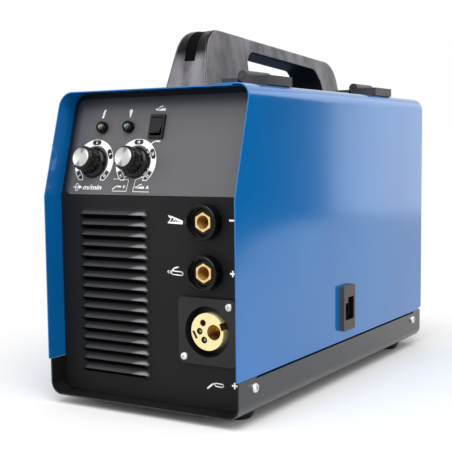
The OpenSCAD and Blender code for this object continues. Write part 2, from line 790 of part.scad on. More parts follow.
module handle_screws() color("#b9bcc0") on_cover() for (y = handle_screw_ys) translate([0, y, -sheet_t])
    rotate([180, 0, 0]) pan_head(screw_d - 0.2, screw_head_d, screw_head_h, 14);

// ---------- control panel ----------

module knob() difference() {
    union() {
        rotate_extrude() polygon([[0, knob_floor], [skirt_d / 2, knob_floor], [skirt_d / 2, knob_floor + 1.2],
            [skirt_d / 2 - 1.4, knob_floor + 4], [grip_d / 2 + 0.6, knob_floor + 5.4],
            [grip_d / 2, grip_h - 1], [grip_d / 2 - 1, grip_h], [0, grip_h]]);
        translate([0, 0, -pot_depth - pot_body_l + 1]) cylinder(d = pot_shaft_d, h = pot_depth + pot_body_l + 1);
    }
    for (i = [0 : 17]) rotate(i * 20) translate([grip_d / 2 + 1.1, 0, knob_floor + 6.4]) cylinder(r = 1.7, h = grip_h);
}

module knob_cap() {
    rotate_extrude() polygon([[0, grip_h], [cap_d / 2, grip_h], [cap_d / 2, grip_h + cap_h - 0.8],
        [cap_d / 2 - 0.8, grip_h + cap_h], [0, grip_h + cap_h]]);
}

module speed_knob() color("#161617") placed() on_slope(speed_x, knob_s) knob();
module speed_knob_cap() color("#d4d4d4") placed() on_slope(speed_x, knob_s) knob_cap();
module voltage_knob() color("#161617") placed() on_slope(voltage_x, knob_s) knob();
module voltage_knob_cap() color("#d4d4d4") placed() on_slope(voltage_x, knob_s) knob_cap();

module potentiometers() color("#4c6a4c") placed() for (x = [speed_x, voltage_x]) on_slope(x, knob_s) difference() {
    union() {
        translate([0, 0, -pot_depth - pot_body_l]) cylinder(d = pot_body_d, h = pot_body_l);
        translate([0, 0, -pot_depth - eps]) cylinder(r = bush_r, h = pot_depth + overlay_t);
    }
    translate([0, 0, -pot_depth - pot_body_l + 1 - gap]) cylinder(r = pot_shaft_d / 2 + shaft_play, h = 30);
}

module control_board() color("#1f5a3a") placed()
    on_slope(0, 0, -pot_depth - pot_body_l - board_t) difference() {
        translate([speed_x - board_side, knob_s - board_edge, 0])
            cube([divider_x - 5 - speed_x + board_side, lamp_s - knob_s + 2 * board_edge, board_t]);
        translate([rocker_x - rocker_w / 2 - 2.9, rocker_s - frame_l / 2 - 0.8, -1])
            cube([rocker_w + 5.8, frame_l + 1.6, board_t + 2]);
    }

module lamp_holders() color("#19191a") placed() for (x = [lamp1_x, lamp2_x]) on_slope(x, lamp_s) difference() {
    rotate_extrude() polygon([[0, -pot_depth - pot_body_l], [lens_d / 2 + 1.1, -pot_depth - pot_body_l],
        [lens_d / 2 + 1.1, overlay_t], [lamp_d / 2, overlay_t], [lamp_d / 2, lamp_h - 2.5],
        [lamp_d / 2 - 1, lamp_h - 0.6], [lens_d / 2 + 0.6, lamp_h], [0, lamp_h]]);
    translate([0, 0, lamp_h - 6]) cylinder(d = lens_d + 2 * hole_play, h = 7);
}

module lamp_lenses() color("#7d8f2e") placed() for (x = [lamp1_x, lamp2_x]) on_slope(x, lamp_s, lamp_h - 6)
    rotate_extrude() polygon(concat([[0, 0], [lens_d / 2, 0]],
        [for (a = [0 : 15 : 90]) [lens_d / 2 * cos(a), 4 + 3 * sin(a)]]));

module switch_tub(w, l, tub, flange_w, flange_l, flange_h, inner_w, inner_l) difference() {
    union() {
        translate([-w / 2, -l / 2, -tub]) cube([w, l, tub + eps]);
        translate([-flange_w / 2, -flange_l / 2, 0]) cube([flange_w, flange_l, flange_h]);
    }
    translate([-inner_w / 2, -inner_l / 2, -tub + 1.2]) cube([inner_w, inner_l, tub + flange_h]);
}

module rocker_key(w, l, depth, up) translate([-w / 2, 0, 0]) rotate([90, 0, 90]) linear_extrude(w)
    polygon([[-l / 2, up], [-l / 4, up - 0.9], [0, up - 1.2], [l / 4, up - 0.9], [l / 2, up],
        [l / 2, -depth / 3], [l / 4, -depth], [-l / 4, -depth], [-l / 2, -depth / 3]]);

module mode_switch_frame() color("#222224") placed() on_slope(rocker_x, rocker_s, overlay_t)
    switch_tub(rocker_w + 2.6, frame_l - 2, rocker_tub, frame_w, frame_l, frame_h,
        rocker_w + 0.6, rocker_l + 2.4);

module mode_rocker() color("#2e2e30") placed() on_slope(rocker_x, rocker_s, overlay_t + rocker_pivot)
    rotate([-rocker_tilt, 0, 0]) {
        rocker_key(rocker_w, rocker_l, 6, 3.4);
        rod_x(-rocker_w / 2 - 0.29, 0, 0, 2, rocker_w + 0.58);
    }

// ---------- sockets on the front ----------

// a collar with a funnel down to the hexagonal contact
module dinse_housing(z) placed() translate([socket_x, panel_recess, z]) rotate([90, 0, 0]) difference() {
    union() {
        rotate_extrude() polygon([[0, -14], [socket_neck_d / 2, -14], [socket_neck_d / 2, 0], [collar_d / 2, 0],
            [collar_d / 2, collar_h - 0.8], [collar_d / 2 - 0.8, collar_h], [collar_d / 2 - 2.4, collar_h],
            [contact_hex_r + 1.6, well_floor], [0, well_floor]]);
        translate([0, 0, -panel_t - 5]) cylinder(r = 19, h = 5, $fn = 6);
    }
    rotate(30) translate([0, 0, -15]) cylinder(r = contact_hex_r + contact_play, h = 30, $fn = 6);
}

module negative_socket() color("#151516") dinse_housing(negative_z);
module positive_socket() color("#151516") dinse_housing(positive_z);

module socket_contacts() color("#c79a45") placed() for (z = [negative_z, positive_z])
    translate([socket_x, panel_recess, z]) rotate([90, 0, 0]) difference() {
        union() {
            rotate(30) translate([0, 0, collar_h - contact_sink - contact_l])
                cylinder(r = contact_hex_r, h = contact_l, $fn = 6);
            translate([0, 0, collar_h - contact_sink - contact_l - 14]) cylinder(d = 10, h = 14 + eps);
        }
        translate([0, 0, collar_h - contact_sink - contact_l + 4]) cylinder(d = contact_bore_d, h = contact_l);
    }

module at_torch_screws() for (s = [-1, 1])
    translate([socket_x + s * euro_screw_pitch / 2, panel_recess, euro_z + s * euro_screw_pitch / 2]) children();

module torch_flange() color("#242426") placed() difference() {
    union() {
        along_y(panel_recess - euro_t, euro_t) translate([socket_x, euro_z]) round_rect(euro_w, euro_w, 6);
        rod_y(socket_x, panel_recess - eps, euro_z, euro_well_d + 2 * euro_wall, euro_well_depth + euro_wall);
    }
    rod_y(socket_x, panel_recess - euro_t - 1, euro_z, euro_well_d, euro_well_depth + euro_t + 1);
    rod_y(socket_x, panel_recess, euro_z, euro_boss_d + 2 * hole_play, 40);
    at_torch_screws() rod_y(0, -euro_t - 1, 0, small_screw_d + 2 * hole_play, euro_t + 2);
}

// places in the brass face, across and up from its middle
gas_port = [-4.8, 8.4];
pin_ports = [[-8.7, 0], [-3.6, -8.3]];

module torch_brass() color("#d9b45c") placed() translate([socket_x, panel_recess, euro_z]) difference() {
    union() {
        rod_y(0, euro_face, 0, euro_brass_d, euro_well_depth - euro_face);
        rod_y(0, euro_well_depth - eps, 0, euro_boss_d, euro_wall + 6);
        rod_y(euro_bore_x, euro_well_depth, 0, euro_neck_d, wire_y - roll_d / 2 - 18 - panel_recess - euro_well_depth);
    }
    rod_y(euro_bore_x, euro_face - 1, 0, euro_bore_d, euro_well_depth - euro_face + 1);
    rod_y(euro_bore_x, euro_well_depth - 1, 0, 5, 90);
    rod_y(gas_port[0], euro_face - 1, gas_port[1], 6.5, euro_port_end - euro_face + 1);
    for (p = pin_ports) rod_y(p[0], euro_face - 1, p[1], 6.6, euro_port_end - euro_face + 1);
    translate([-14.2, euro_face - 1, -3.8]) rotate([0, -30, 0]) translate([-1.3, 0, -4]) cube([2.6, 4, 8]);
    rotate([0, -20, 0]) translate([euro_brass_d / 2 - 2.6, euro_face - 1, -3.5])
        cube([6, euro_well_depth - euro_face - 3, 7]);
}

module torch_pins() color("#c9c9c9") placed() translate([socket_x, panel_recess, euro_z]) for (p = pin_ports) {
    rod_y(p[0], euro_face + 1.5, p[1], 3, euro_port_end - euro_face - 1.7);
    rod_y(p[0], euro_port_end - 6, p[1], 6.5, 6);
}

// the screws of the torch socket's flange and of the fan
module panel_screws() color("#c8cace") placed() {
    at_torch_screws() translate([0, -euro_t, 0]) rotate([90, 0, 0]) pan_head(small_screw_d, 8, 3, euro_t + 6);
    at_fan_corners() translate([0, rear_face + 1.4 + 2 * eps, 0]) rotate([-90, 0, 0])
        pan_head(small_screw_d, 8, 2.4, 14);
}

// ---------- wire feed bay ----------

module divider_panel() color("#8d9094") placed() difference() {
    union() {
        intersection() {
            along_x(divider_x, divider_t) polygon([[panel_recess + panel_t + gap, panel_z0],
                [panel_recess + panel_t + gap, kink_z], [panel_recess + panel_t + gap + tan(lean_a) * (panel_top - kink_z), panel_top],
                [rear_in - gap, panel_top], [rear_in - gap, panel_z0]]);
            translate([0, 0, panel_z0 + panel_t + gap]) cube([hw, body_l, panel_top - panel_z0 - 2 * panel_t - 2 * gap]);
        }
        for (y = [panel_recess + rim_depth + 20, rear_face - rim_depth - 60])
            translate([divider_x - 14 + eps, y, panel_z0]) cube([14, 40, 1.5 + gap]);
        translate([divider_x, panel_recess + rim_depth + gap, panel_z0])
            cube([divider_t, rear_face - panel_recess - 2 * rim_depth - 2 * gap, 4]);
    }
    rod_x(divider_x - 1, wire_y, drive_z, 20, 4);
    rod_x(divider_x - 1, spool_y, spool_z, spindle_d - 4, 4);
}

module feed_plate() color("#a9adb1") placed() difference() {
    union() {
        translate([plate_x, wire_y - plate_front, plate_z0]) cube([plate_t, plate_l, plate_z1 - plate_z0]);
        translate([bay_x, wire_y - gear_w / 2, drive_z - gear_w / 2]) cube([plate_x - bay_x + eps, gear_w, gear_w]);
        translate([plate_x + plate_t - eps, wire_y - 33 + 10, euro_z - 7]) cube([wire_x + 7 - plate_x - plate_t, 6, 14]);
        translate([plate_x + plate_t - eps, wire_y + 19, euro_z - 7]) cube([wire_x + 7 - plate_x - plate_t, 30, 14]);
    }
    rod_x(0, wire_y, drive_z, drive_shaft_d + 2 * shaft_play, hw);
    rod_y(wire_x, wire_y - plate_l, euro_z, 3, 2 * plate_l);
    rod_x(0, arm_pivot[0], arm_pivot[1], 8, hw);
    rod_x(0, lever_pivot[0], lever_pivot[1], 5, hw);
}

module feed_motor() color("#2b2c2f") placed() difference() {
    union() {
        rod_x(divider_x - gap - motor_l, wire_y, drive_z, motor_d, motor_l);
        rod_x(divider_x - gap - motor_l - 5, wire_y, drive_z, 18, 6);
    }
    rod_x(divider_x - 14, wire_y, drive_z, drive_shaft_d + 1, 20);
}

module drive_roll() color("#b8bcc2") placed() difference() {
    union() {
        rod_x(divider_x - 12, wire_y, drive_z, drive_shaft_d, wire_x + roll_w / 2 + 9 - divider_x + 12);
        rod_x(wire_x - roll_w / 2, wire_y, drive_z, roll_d, roll_w);
        rod_x(wire_x + roll_w / 2 - eps, wire_y, drive_z, 20, 6);
    }
}

module pressure_arm() color("#3a3b3e") placed() difference() {
    union() {
        rod_x(arm_x, arm_pivot[0], arm_pivot[1], 18, arm_t);
        along_x(arm_x, arm_t) polygon([arm_pivot + [0, 9], [lever_pivot[0] - 4, tab_top],
            [lever_pivot[0] - 4, tab_top - 6], [wire_y - 10, press_z - 7], [wire_y + 10, press_z - 7],
            arm_pivot + [0, -9]]);
        translate([arm_x, lever_pivot[0] - 4, tab_top - 5]) cube([wire_x + 9 - arm_x, 12, 5]);
        rod_x(arm_x, wire_y, press_z, roll_shaft_d, wire_x + roll_w / 2 + 1 - arm_x);
        rod_x(wire_x + roll_w / 2 + 0.6, wire_y, press_z, 12, 2);
        rod_x(plate_x + 1, arm_pivot[0], arm_pivot[1], 8 - 2 * shaft_play, plate_t + arm_t);
    }
    translate([wire_x - lever_rod_d / 2 - 0.6, lever_pivot[0] - 5, press_z])
        cube([lever_rod_d + 1.2, 5 + lever_rod_d / 2 + 0.6, 30]);
}

module pressure_roll() color("#b8bcc2") placed() difference() {
    rod_x(wire_x - roll_w / 2, wire_y, press_z, roll_d, roll_w);
    rod_x(wire_x - roll_w / 2 - 1, wire_y, press_z, roll_shaft_d + 2 * shaft_play, roll_w + 2);
}

module tension_lever() color("#1c1c1e") placed() translate([0, lever_pivot[0], lever_pivot[1]]) rotate([lever_swing, 0, 0]) {
    translate([wire_x, 0, 0]) cylinder(d = lever_rod_d, h = lever_l);
    rod_x(arm_x, 0, 0, lever_bar_d, wire_x + 5 - arm_x);
    rod_x(plate_x + 1, 0, 0, 5 - 2 * shaft_play, plate_t);
    translate([wire_x, 0, lever_l - eps]) rotate_extrude() polygon([[0, 0], [7, 0], [9.5, 3], [9.5, 22], [8, 24], [0, 24]]);
}

module spool_spindle() color("#8d9094") placed() {
    rod_x(bay_x, spool_y, spool_z, 46, 4);
    rod_x(bay_x - divider_t - 4, spool_y, spool_z, spindle_d - 4.4, 8);
    rod_x(bay_x, spool_y, spool_z, spindle_d, spool_x0 + spool_w + 4 - bay_x);
}

module spool_hub() color("#1c1c1e") placed() difference() {
    union() {
        rod_x(spool_x0, spool_y, spool_z, hub_d, spool_w + 2);
        rod_x(bay_x + 4 + gap, spool_y, spool_z, nut_d, spool_x0 - bay_x - 4 - gap + eps);
    }
    rod_x(0, spool_y, spool_z, spindle_d + 2 * shaft_play, hw);
}

module wire_spool() color("#2a2b2e") placed() difference() {
    union() {
        for (x = [spool_x0 + eps, spool_x0 + spool_w - spool_rim_t])
            rod_x(x, spool_y, spool_z, spool_d, spool_rim_t);
        rod_x(spool_x0 + eps, spool_y, spool_z, spool_barrel_d, spool_w - 2 * eps);
    }
    rod_x(0, spool_y, spool_z, spool_bore_d, hw);
    for (i = [0 : 5]) translate([0, spool_y, spool_z]) rotate([i * 60 + 30, 0, 0])
        rod_x(spool_x0 - 1, 0, 38, 15, spool_w + 2);
    for (i = [0 : 3]) translate([0, spool_y, spool_z]) rotate([i * 90, 0, 0])
        rod_x(spool_x0 - 1, 0, winding_d / 2 + 4, 4, spool_w + 2);
}

module wire_winding() color("#b98a5a") placed() difference() {
    rod_x(spool_x0 + spool_rim_t + eps, spool_y, spool_z, winding_d, spool_w - 2 * spool_rim_t - 2 * eps);
    rod_x(0, spool_y, spool_z, spool_barrel_d + eps, hw);
}

module spool_nut() color("#3a3b3e") placed() difference() {
    rod_x(spool_x0 + spool_w + 2 + eps, spool_y, spool_z, nut_d, nut_t);
    rod_x(0, spool_y, spool_z, spindle_d + 2, spool_x0 + spool_w + 5);
    for (i = [0 : 7]) translate([0, spool_y, spool_z]) rotate([i * 45, 0, 0])
        rod_x(0, 0, nut_d / 2 + 3, 10, hw);
}

// ---------- cooling and power ----------

module at_fan_corners() for (sx = [-1, 1], sz = [-1, 1])
    translate([fan_x + sx * (fan_w / 2 - 7.5), 0, fan_z + sz * (fan_w / 2 - 7.5)]) children();

module fan_frame() color("#1c1c1e") placed() {
    difference() {
        along_y(fan_y, fan_l - gap) translate([fan_x, fan_z]) round_rect(fan_w, fan_w, 6);
        rod_y(fan_x, fan_y - 1, fan_z, fan_bore_d, fan_l + 2);
        at_fan_corners() rod_y(0, fan_y - 1, 0, 4.4, fan_l + 2);
    }
    difference() {
        union() {
            rod_y(fan_x, fan_y, fan_z, fan_hub_d, 5);
            translate([fan_x, 0, fan_z]) for (i = [0 : 3]) rotate([0, 45 + 90 * i, 0])
                translate([fan_hub_d / 2 - 2, fan_y, -2.5]) cube([(fan_bore_d - fan_hub_d) / 2 + 3.2, 4, 5]);
        }
        rod_y(fan_x, fan_y - 1, fan_z, 6 + 2 * shaft_play, 10);
    }
}

module fan_rotor() color("#222326") placed() translate([fan_x, fan_y + 5.5, fan_z]) {
    rod_y(0, 0, 0, fan_hub_d - 2, fan_l - 12);
    rod_y(0, -4.5, 0, 6, 10);
    for (i = [0 : 6]) rotate([0, i * 360 / 7, 0]) translate([fan_hub_d / 2 - 3, (fan_l - 12) / 2, 0])
        rotate([38, 0, 0]) translate([0, -(fan_l - 16) / 2, -0.9])
            cube([(rotor_d - fan_hub_d) / 2 + 1.6, fan_l - 16, 1.8]);
}

module fan_grille() color("#c2c4c7") placed() difference() {
    union() {
        for (r = [fan_hub_d / 4 : fan_w / 17 : fan_bore_d / 2 - 1]) translate([fan_x, rear_face + 2.4, fan_z])
            rotate([90, 0, 0]) rotate_extrude() translate([r, 0]) circle(0.9, $fn = 16);
        translate([fan_x, 0, fan_z]) for (i = [0 : 3]) rotate([0, 45 + 90 * i, 0]) {
            translate([6, rear_face + 0.3, -1]) cube([(fan_w / 2 - 7.5) * sqrt(2) - 10.3, 1.4, 2]);
            translate([(fan_w / 2 - 7.5) * sqrt(2), 0, 0]) rod_y(0, rear_face + eps, 0, 10, 1.4);
        }
    }
    at_fan_corners() rod_y(0, rear_face - 1, 0, small_screw_d + 2 * hole_play, 5);
}

module heat_sinks() color("#b3b6b9") placed() for (x = [fan_x - sink_w - 6, fan_x + 6]) translate([x, sink_y, sink_z]) {
    translate([sink_w / 2 - 3, 0, 0]) cube([6, sink_l, sink_h]);
    for (z = [0 : 8 : sink_h - 2]) translate([0, 0, z]) cube([sink_w, sink_l, 2]);
    translate([0, 0, sink_h - 2]) cube([sink_w, sink_l, 2]);
}

module power_board() color("#1f5a3a") placed()
    translate([fan_x - sink_w - 12, sink_y - 70, board_z]) cube([2 * sink_w + 24, sink_l + 80, board_t]);

module capacitors() color("#23242a") placed() for (i = [0 : 2])
    translate([fan_x - sink_w + 10, sink_y + 40 + i * 42, board_z + board_t + gap]) difference() {
        cylinder(d = can_d, h = can_h);
        translate([0, 0, can_h - 1]) difference() {
            cylinder(d = can_d - 5, h = 2);
            cylinder(d = can_d - 11, h = 2);
        }
    }

module transformer() color("#6e4a2a") placed() translate([fan_x + 22, sink_y + 70, board_z + board_t + gap]) {
    difference() {
        translate([-core_w / 2, -core_l / 2, 0]) cube([core_w, core_l, core_h]);
        for (s = [-1, 1]) translate([s * 0.32 * core_w - 6, -core_l / 2 - 1, core_h / 6])
            cube([12, core_l + 2, core_h * 2 / 3]);
    }
    for (y = [-core_l / 2 - 4 + eps, core_l / 2 - eps]) translate([-core_w * 0.4, y, core_h / 6 + 0.5])
        cube([core_w * 0.8, 4, core_h * 2 / 3 - 1]);
    translate([0, core_l + 16, 0]) difference() {
        cylinder(d = choke_d, h = choke_d * 0.43);
        translate([0, 0, -1]) cylinder(d = choke_d * 0.43, h = choke_d);
    }
}

module gas_valve() color("#b59a62") placed() {
    translate([gas_x - 14, rear_in - 44, gas_z - 12]) cube([28, 26, 24]);
    rod_y(gas_x, rear_in - 58, gas_z, 22, 14 + eps);
    translate([gas_x, rear_in - 31, gas_z + 12 - eps]) cylinder(d = 24, h = 26);
}

module gas_inlet() color("#c9a24d") placed() {
    rod_y(gas_x, rear_in - 18 + gap, gas_z, 12, 18 + panel_t);
    translate([gas_x, rear_face + eps, gas_z]) rotate([-90, 0, 0]) cylinder(d = 19, h = 6, $fn = 6);
    translate([gas_x, rear_face + 6, gas_z]) rotate([-90, 0, 0]) difference() {
        rotate_extrude() polygon([[0, 0], [3.6, 0], [3.6, 4], [4.6, 4], [3.6, 9], [4.6, 9], [3.6, 14], [4.4, 14],
            [3.2, rear_recess - 7], [0, rear_recess - 7]]);
        translate([0, 0, 2]) cylinder(d = 4, h = 40);
    }
}

module on_rear(x, z) translate([x, rear_face, z]) rotate([-90, 0, 0]) children();

module mains_switch_frame() color("#19191a") placed() on_rear(switch_x, switch_z)
    switch_tub(21.6, 27.6, 22, 26, 32, 2.5, 16, 24.4);

module mains_rocker() color("#8c1c1c") placed() on_rear(switch_x, switch_z) translate([0, 0, 1.5]) rotate([-rocker_tilt, 0, 0]) {
    rocker_key(15.4, 21, 7, 4);
    rod_x(-7.99, 0, 0, 2.4, 15.98);
}

module cable_gland() color("#1d1d1f") placed() on_rear(gland_x, gland_z) difference() {
    union() {
        cylinder(d = 28, h = 6, $fn = 6);
        translate([0, 0, 6 - eps]) rotate_extrude() polygon([[0, 0], [13, 0], [13, 9], [9, 15], [0, 15]]);
        translate([0, 0, -12]) cylinder(d = 20, h = 12 + eps);
        translate([0, 0, -panel_t - 5.4]) cylinder(d = 27, h = 5, $fn = 6);
    }
    translate([0, 0, -13]) cylinder(d = 10, h = 40);
}

base_tray();
rubber_feet();
foot_screws();
front_panel();
front_overlay();
rear_panel();
rear_flanges();
main_cover();
ear_screws();
side_door();
hinge_fixed_leaves();
hinge_door_leaves();
hinge_pins();
latch_body();
latch_slider();
handle_shell();
handle_strip();
handle_cheeks();
handle_screws();
speed_knob();
speed_knob_cap();
voltage_knob();
voltage_knob_cap();
potentiometers();
control_board();
lamp_holders();
lamp_lenses();
mode_switch_frame();
mode_rocker();
negative_socket();
positive_socket();
socket_contacts();
torch_flange();
torch_brass();
torch_pins();
panel_screws();
divider_panel();
feed_plate();
feed_motor();
drive_roll();
pressure_arm();
pressure_roll();
tension_lever();
spool_spindle();
spool_hub();
wire_spool();
wire_winding();
spool_nut();
fan_frame();
fan_rotor();
fan_grille();
heat_sinks();
power_board();
capacitors();
transformer();
gas_valve();
gas_inlet();
mains_switch_frame();
mains_rocker();
cable_gland();
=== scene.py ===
"""Looks of a portable wire-feed welding machine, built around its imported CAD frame."""
import logging
import math
from dataclasses import dataclass
from enum import StrEnum
from typing import Any, Callable, Sequence

import bmesh
import bpy
from mathutils import Matrix, Vector


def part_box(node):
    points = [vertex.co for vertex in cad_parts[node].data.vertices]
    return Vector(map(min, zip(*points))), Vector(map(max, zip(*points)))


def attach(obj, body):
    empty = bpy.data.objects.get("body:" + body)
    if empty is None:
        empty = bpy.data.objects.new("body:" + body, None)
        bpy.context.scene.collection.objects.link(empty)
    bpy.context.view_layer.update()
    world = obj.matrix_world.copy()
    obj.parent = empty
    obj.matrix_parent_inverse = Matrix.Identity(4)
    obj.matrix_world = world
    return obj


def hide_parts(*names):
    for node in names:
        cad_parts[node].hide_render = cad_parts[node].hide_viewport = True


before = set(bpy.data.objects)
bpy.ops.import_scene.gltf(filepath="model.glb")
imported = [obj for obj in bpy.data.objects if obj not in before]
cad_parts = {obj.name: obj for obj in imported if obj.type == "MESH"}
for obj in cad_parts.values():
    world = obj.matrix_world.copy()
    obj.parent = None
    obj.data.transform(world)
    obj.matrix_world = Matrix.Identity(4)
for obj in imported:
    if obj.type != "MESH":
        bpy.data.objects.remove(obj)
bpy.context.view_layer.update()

LOG = logging.getLogger("welding_machine")
MM = 0.001
Point = tuple[float, float, float]
Flat = tuple[float, float]
Colour = tuple[float, float, float, float]
NOWHERE: Point = (0.0, 0.0, 0.0)
ACROSS: Point = (1.0, 0.0, 0.0)
BACK: Point = (0.0, 1.0, 0.0)
UP: Point = (0.0, 0.0, 1.0)
BLACK: Colour = (0.0, 0.0, 0.0, 1.0)
WHITE: Colour = (1.0, 1.0, 1.0, 1.0)
# where the shared frame's origin lies, in mm from the middle of the tray's front edge
ORIGIN: Point = (0.9, 241.5, -10.0)


class Body(StrEnum):
    """The CAD bodies that the pieces ride on."""

    CASE = "case"
    DOOR = "door"
    LATCH = "latch"
    SPEED_DIAL = "speed_dial"
    VOLTAGE_DIAL = "voltage_dial"
    MODE_KEY = "mode_key"
    MAINS_KEY = "mains_key"
    SPOOL = "spool"
    LEVER = "lever"


class Slot(StrEnum):
    """The record's material slots that the pieces are given, though no piece takes one up."""

    BLUE_SHEET = "blue_sheet"
    TRAY = "tray"
    OVERLAY = "overlay"
    BLACK_PLASTIC = "black_plastic"
    GLOSS_BLACK = "gloss_black"
    HANDLE_GREY = "handle_grey"
    LATCH_GREY = "latch_grey"
    CAP_SILVER = "cap_silver"
    RUBBER = "rubber"
    BRASS = "brass"
    CAST_ALLOY = "cast_alloy"
    COPPER_WIRE = "copper_wire"
    RED_KEY = "red_key"


def at(x: float, y: float, z: float) -> Vector:
    """Turns a place measured from the tray's front edge, in mm, into the shared frame in metres."""
    return Vector([(value - zero) * MM for value, zero in zip((x, y, z), ORIGIN)])


def linear(value: float) -> float:
    """One channel of a colour, from a 0-255 screen value to linear light."""
    share = value / 255.0
    return share / 12.92 if share <= 0.04045 else ((share + 0.055) / 1.055) ** 2.4


def rgb(red: float, green: float, blue: float) -> Colour:
    """A colour in 0-255 screen values as the linear colour that a shader takes."""
    return (linear(red), linear(green), linear(blue), 1.0)


# ---------------------------------------------------------------- shader building

@dataclass(frozen=True)
class Sig:
    """A node's output that takes part in Python arithmetic."""

    graph: "Graph"
    socket: Any

    def math(self, operation: str, other: Any = None, swap: bool = False) -> "Sig":
        """Adds one Math node.

        Args:
            operation: the Math node's operation.
            other: the second value, a Sig or a number.
            swap: whether the other value comes first.

        Returns:
            The node's result.
        """
        pair = (other, self) if swap else (self, other)
        inputs = {i: v for i, v in enumerate(pair) if v is not None}
        return self.graph.sig("ShaderNodeMath", {"operation": operation}, inputs)

    def __add__(self, other: Any) -> "Sig":
        """self + other."""
        return self.math("ADD", other)

    __radd__ = __add__

    def __sub__(self, other: Any) -> "Sig":
        """self - other."""
        return self.math("SUBTRACT", other)

    def __rsub__(self, other: Any) -> "Sig":
        """other - self."""
        return self.math("SUBTRACT", other, swap=True)

    def __mul__(self, other: Any) -> "Sig":
        """self * other."""
        return self.math("MULTIPLY", other)

    __rmul__ = __mul__

    def __truediv__(self, other: Any) -> "Sig":
        """self / other."""
        return self.math("DIVIDE", other)

    def ramp(self, low: float, high: float) -> "Sig":
        """A smooth 0 to 1 as the value goes from low to high."""
        return self.graph.sig("ShaderNodeMapRange", {"interpolation_type": "SMOOTHSTEP"},
                              {0: self, 1: low, 2: high, 3: 0.0, 4: 1.0})


class Graph:
    """The node tree of one material or world."""

    def __init__(self, name: str, store: Any = None) -> None:
        """Starts an empty tree.

        Args:
            name: the name of the material or world.
            store: where Blender keeps it, if it isn't a material.
        """
        self.material = (bpy.data.materials if store is None else store).new(name)
        self.material.use_nodes = True
        self.tree = self.material.node_tree
        self.tree.nodes.clear()

    def node(self, kind: str, settings: dict[str, Any] | None = None,
             inputs: dict[Any, Any] | None = None) -> Any:
        """Adds a node, sets its settings first and then its sockets.

        Args:
            kind: the node's type.
            settings: attributes of the node.
            inputs: values or Sigs by socket name or number.

        Returns:
            The node.
        """
        made = self.tree.nodes.new(kind)
        for key, value in (settings or {}).items():
            setattr(made, key, value)
        for key, value in (inputs or {}).items():
            if isinstance(value, Sig):
                self.tree.links.new(value.socket, made.inputs[key])
            else:
                made.inputs[key].default_value = value
        return made

    def sig(self, kind: str, settings: dict[str, Any] | None = None,
            inputs: dict[Any, Any] | None = None, out: Any = 0) -> Sig:
        """Adds a node and returns one of its outputs as a Sig."""
        return Sig(self, self.node(kind, settings, inputs).outputs[out])

    def vector(self, operation: str, *values: Any, out: Any = 0) -> Sig:
        """Adds one Vector Math node and returns one of its outputs."""
        return self.sig("ShaderNodeVectorMath", {"operation": operation}, dict(enumerate(values)), out)

    def place(self) -> Sig:
        """The shaded point in the shared frame."""
        return self.sig("ShaderNodeTexCoord", out="Object")

    def axes(self) -> tuple[Sig, Sig, Sig]:
        """The shaded point's X, Y and Z."""
        split = self.node("ShaderNodeSeparateXYZ", None, {0: self.place()})
        return tuple(Sig(self, split.outputs[i]) for i in range(3))

    def noise(self, scale: float, detail: float = 2.0, rough: float = 0.5,
              stretch: Point = (1.0, 1.0, 1.0)) -> Sig:
        """A noise value around 0.5, stretched by scaling the axes."""
        spot = self.sig("ShaderNodeMapping", None, {0: self.place(), 3: stretch})
        return self.sig("ShaderNodeTexNoise", None,
                        {"Vector": spot, "Scale": scale, "Detail": detail, "Roughness": rough})

    def mix(self, factor: Any, first: Any, second: Any) -> Sig:
        """A colour between two, by a factor."""
        return self.sig("ShaderNodeMix", {"data_type": "RGBA", "clamp_factor": True},
                        {0: factor, 6: first, 7: second}, out=2)

    def reach(self, centre: Point, axis: Point) -> Sig:
        """Measures how far the shaded point is from a line.

        Args:
            centre: a point of the line.
            axis: the line's direction.

        Returns:
            The distance in metres.
        """
        away = self.vector("SUBTRACT", self.place(), centre)
        along = self.vector("PROJECT", away, axis)
        return self.vector("LENGTH", self.vector("SUBTRACT", away, along), out="Value")

    def reflection_sector(self, centre: Point, axis: Point, towards: Point, start: float) -> Sig:
        """Finds the two opposite sectors round an axis that lie along a direction, where reflections are
        painted.

        Args:
            centre: a point of the axis.
            axis: its direction.
            towards: the direction of the sectors' middle, across the axis.
            start: the cosine of half the sectors' angle.

        Returns:
            1 in the sectors and 0 between them.
        """
        never_zero = 0.0004
        side = self.vector("DOT_PRODUCT", self.vector("SUBTRACT", self.place(), centre), towards,
                           out="Value")
        return (side.math("ABSOLUTE") / (self.reach(centre, axis) + never_zero)).ramp(start, 0.995)

    def bump(self, height: Sig, strength: float, depth: float) -> Sig:
        """A bumped normal."""
        return self.sig("ShaderNodeBump", None,
                        {"Height": height, "Strength": strength, "Distance": depth})

    def finish(self, colour: Any, rough: Any, normal: Sig | None = None, **sockets: Any) -> Any:
        """Closes the tree with a Principled shader.

        Args:
            colour: the base colour, a Sig or a plain colour.
            rough: the roughness.
            normal: the bumped normal, if there is one.
            sockets: further sockets by name, with an underscore for each space.

        Returns:
            The material.
        """
        inputs = {"Base Color": colour, "Roughness": rough}
        inputs.update({key.replace("_", " "): value for key, value in sockets.items()})
        if normal is not None:
            inputs["Normal"] = normal
        shader = self.sig("ShaderNodeBsdfPrincipled", None, inputs)
        self.node("ShaderNodeOutputMaterial", None, {0: shader})
        return self.material


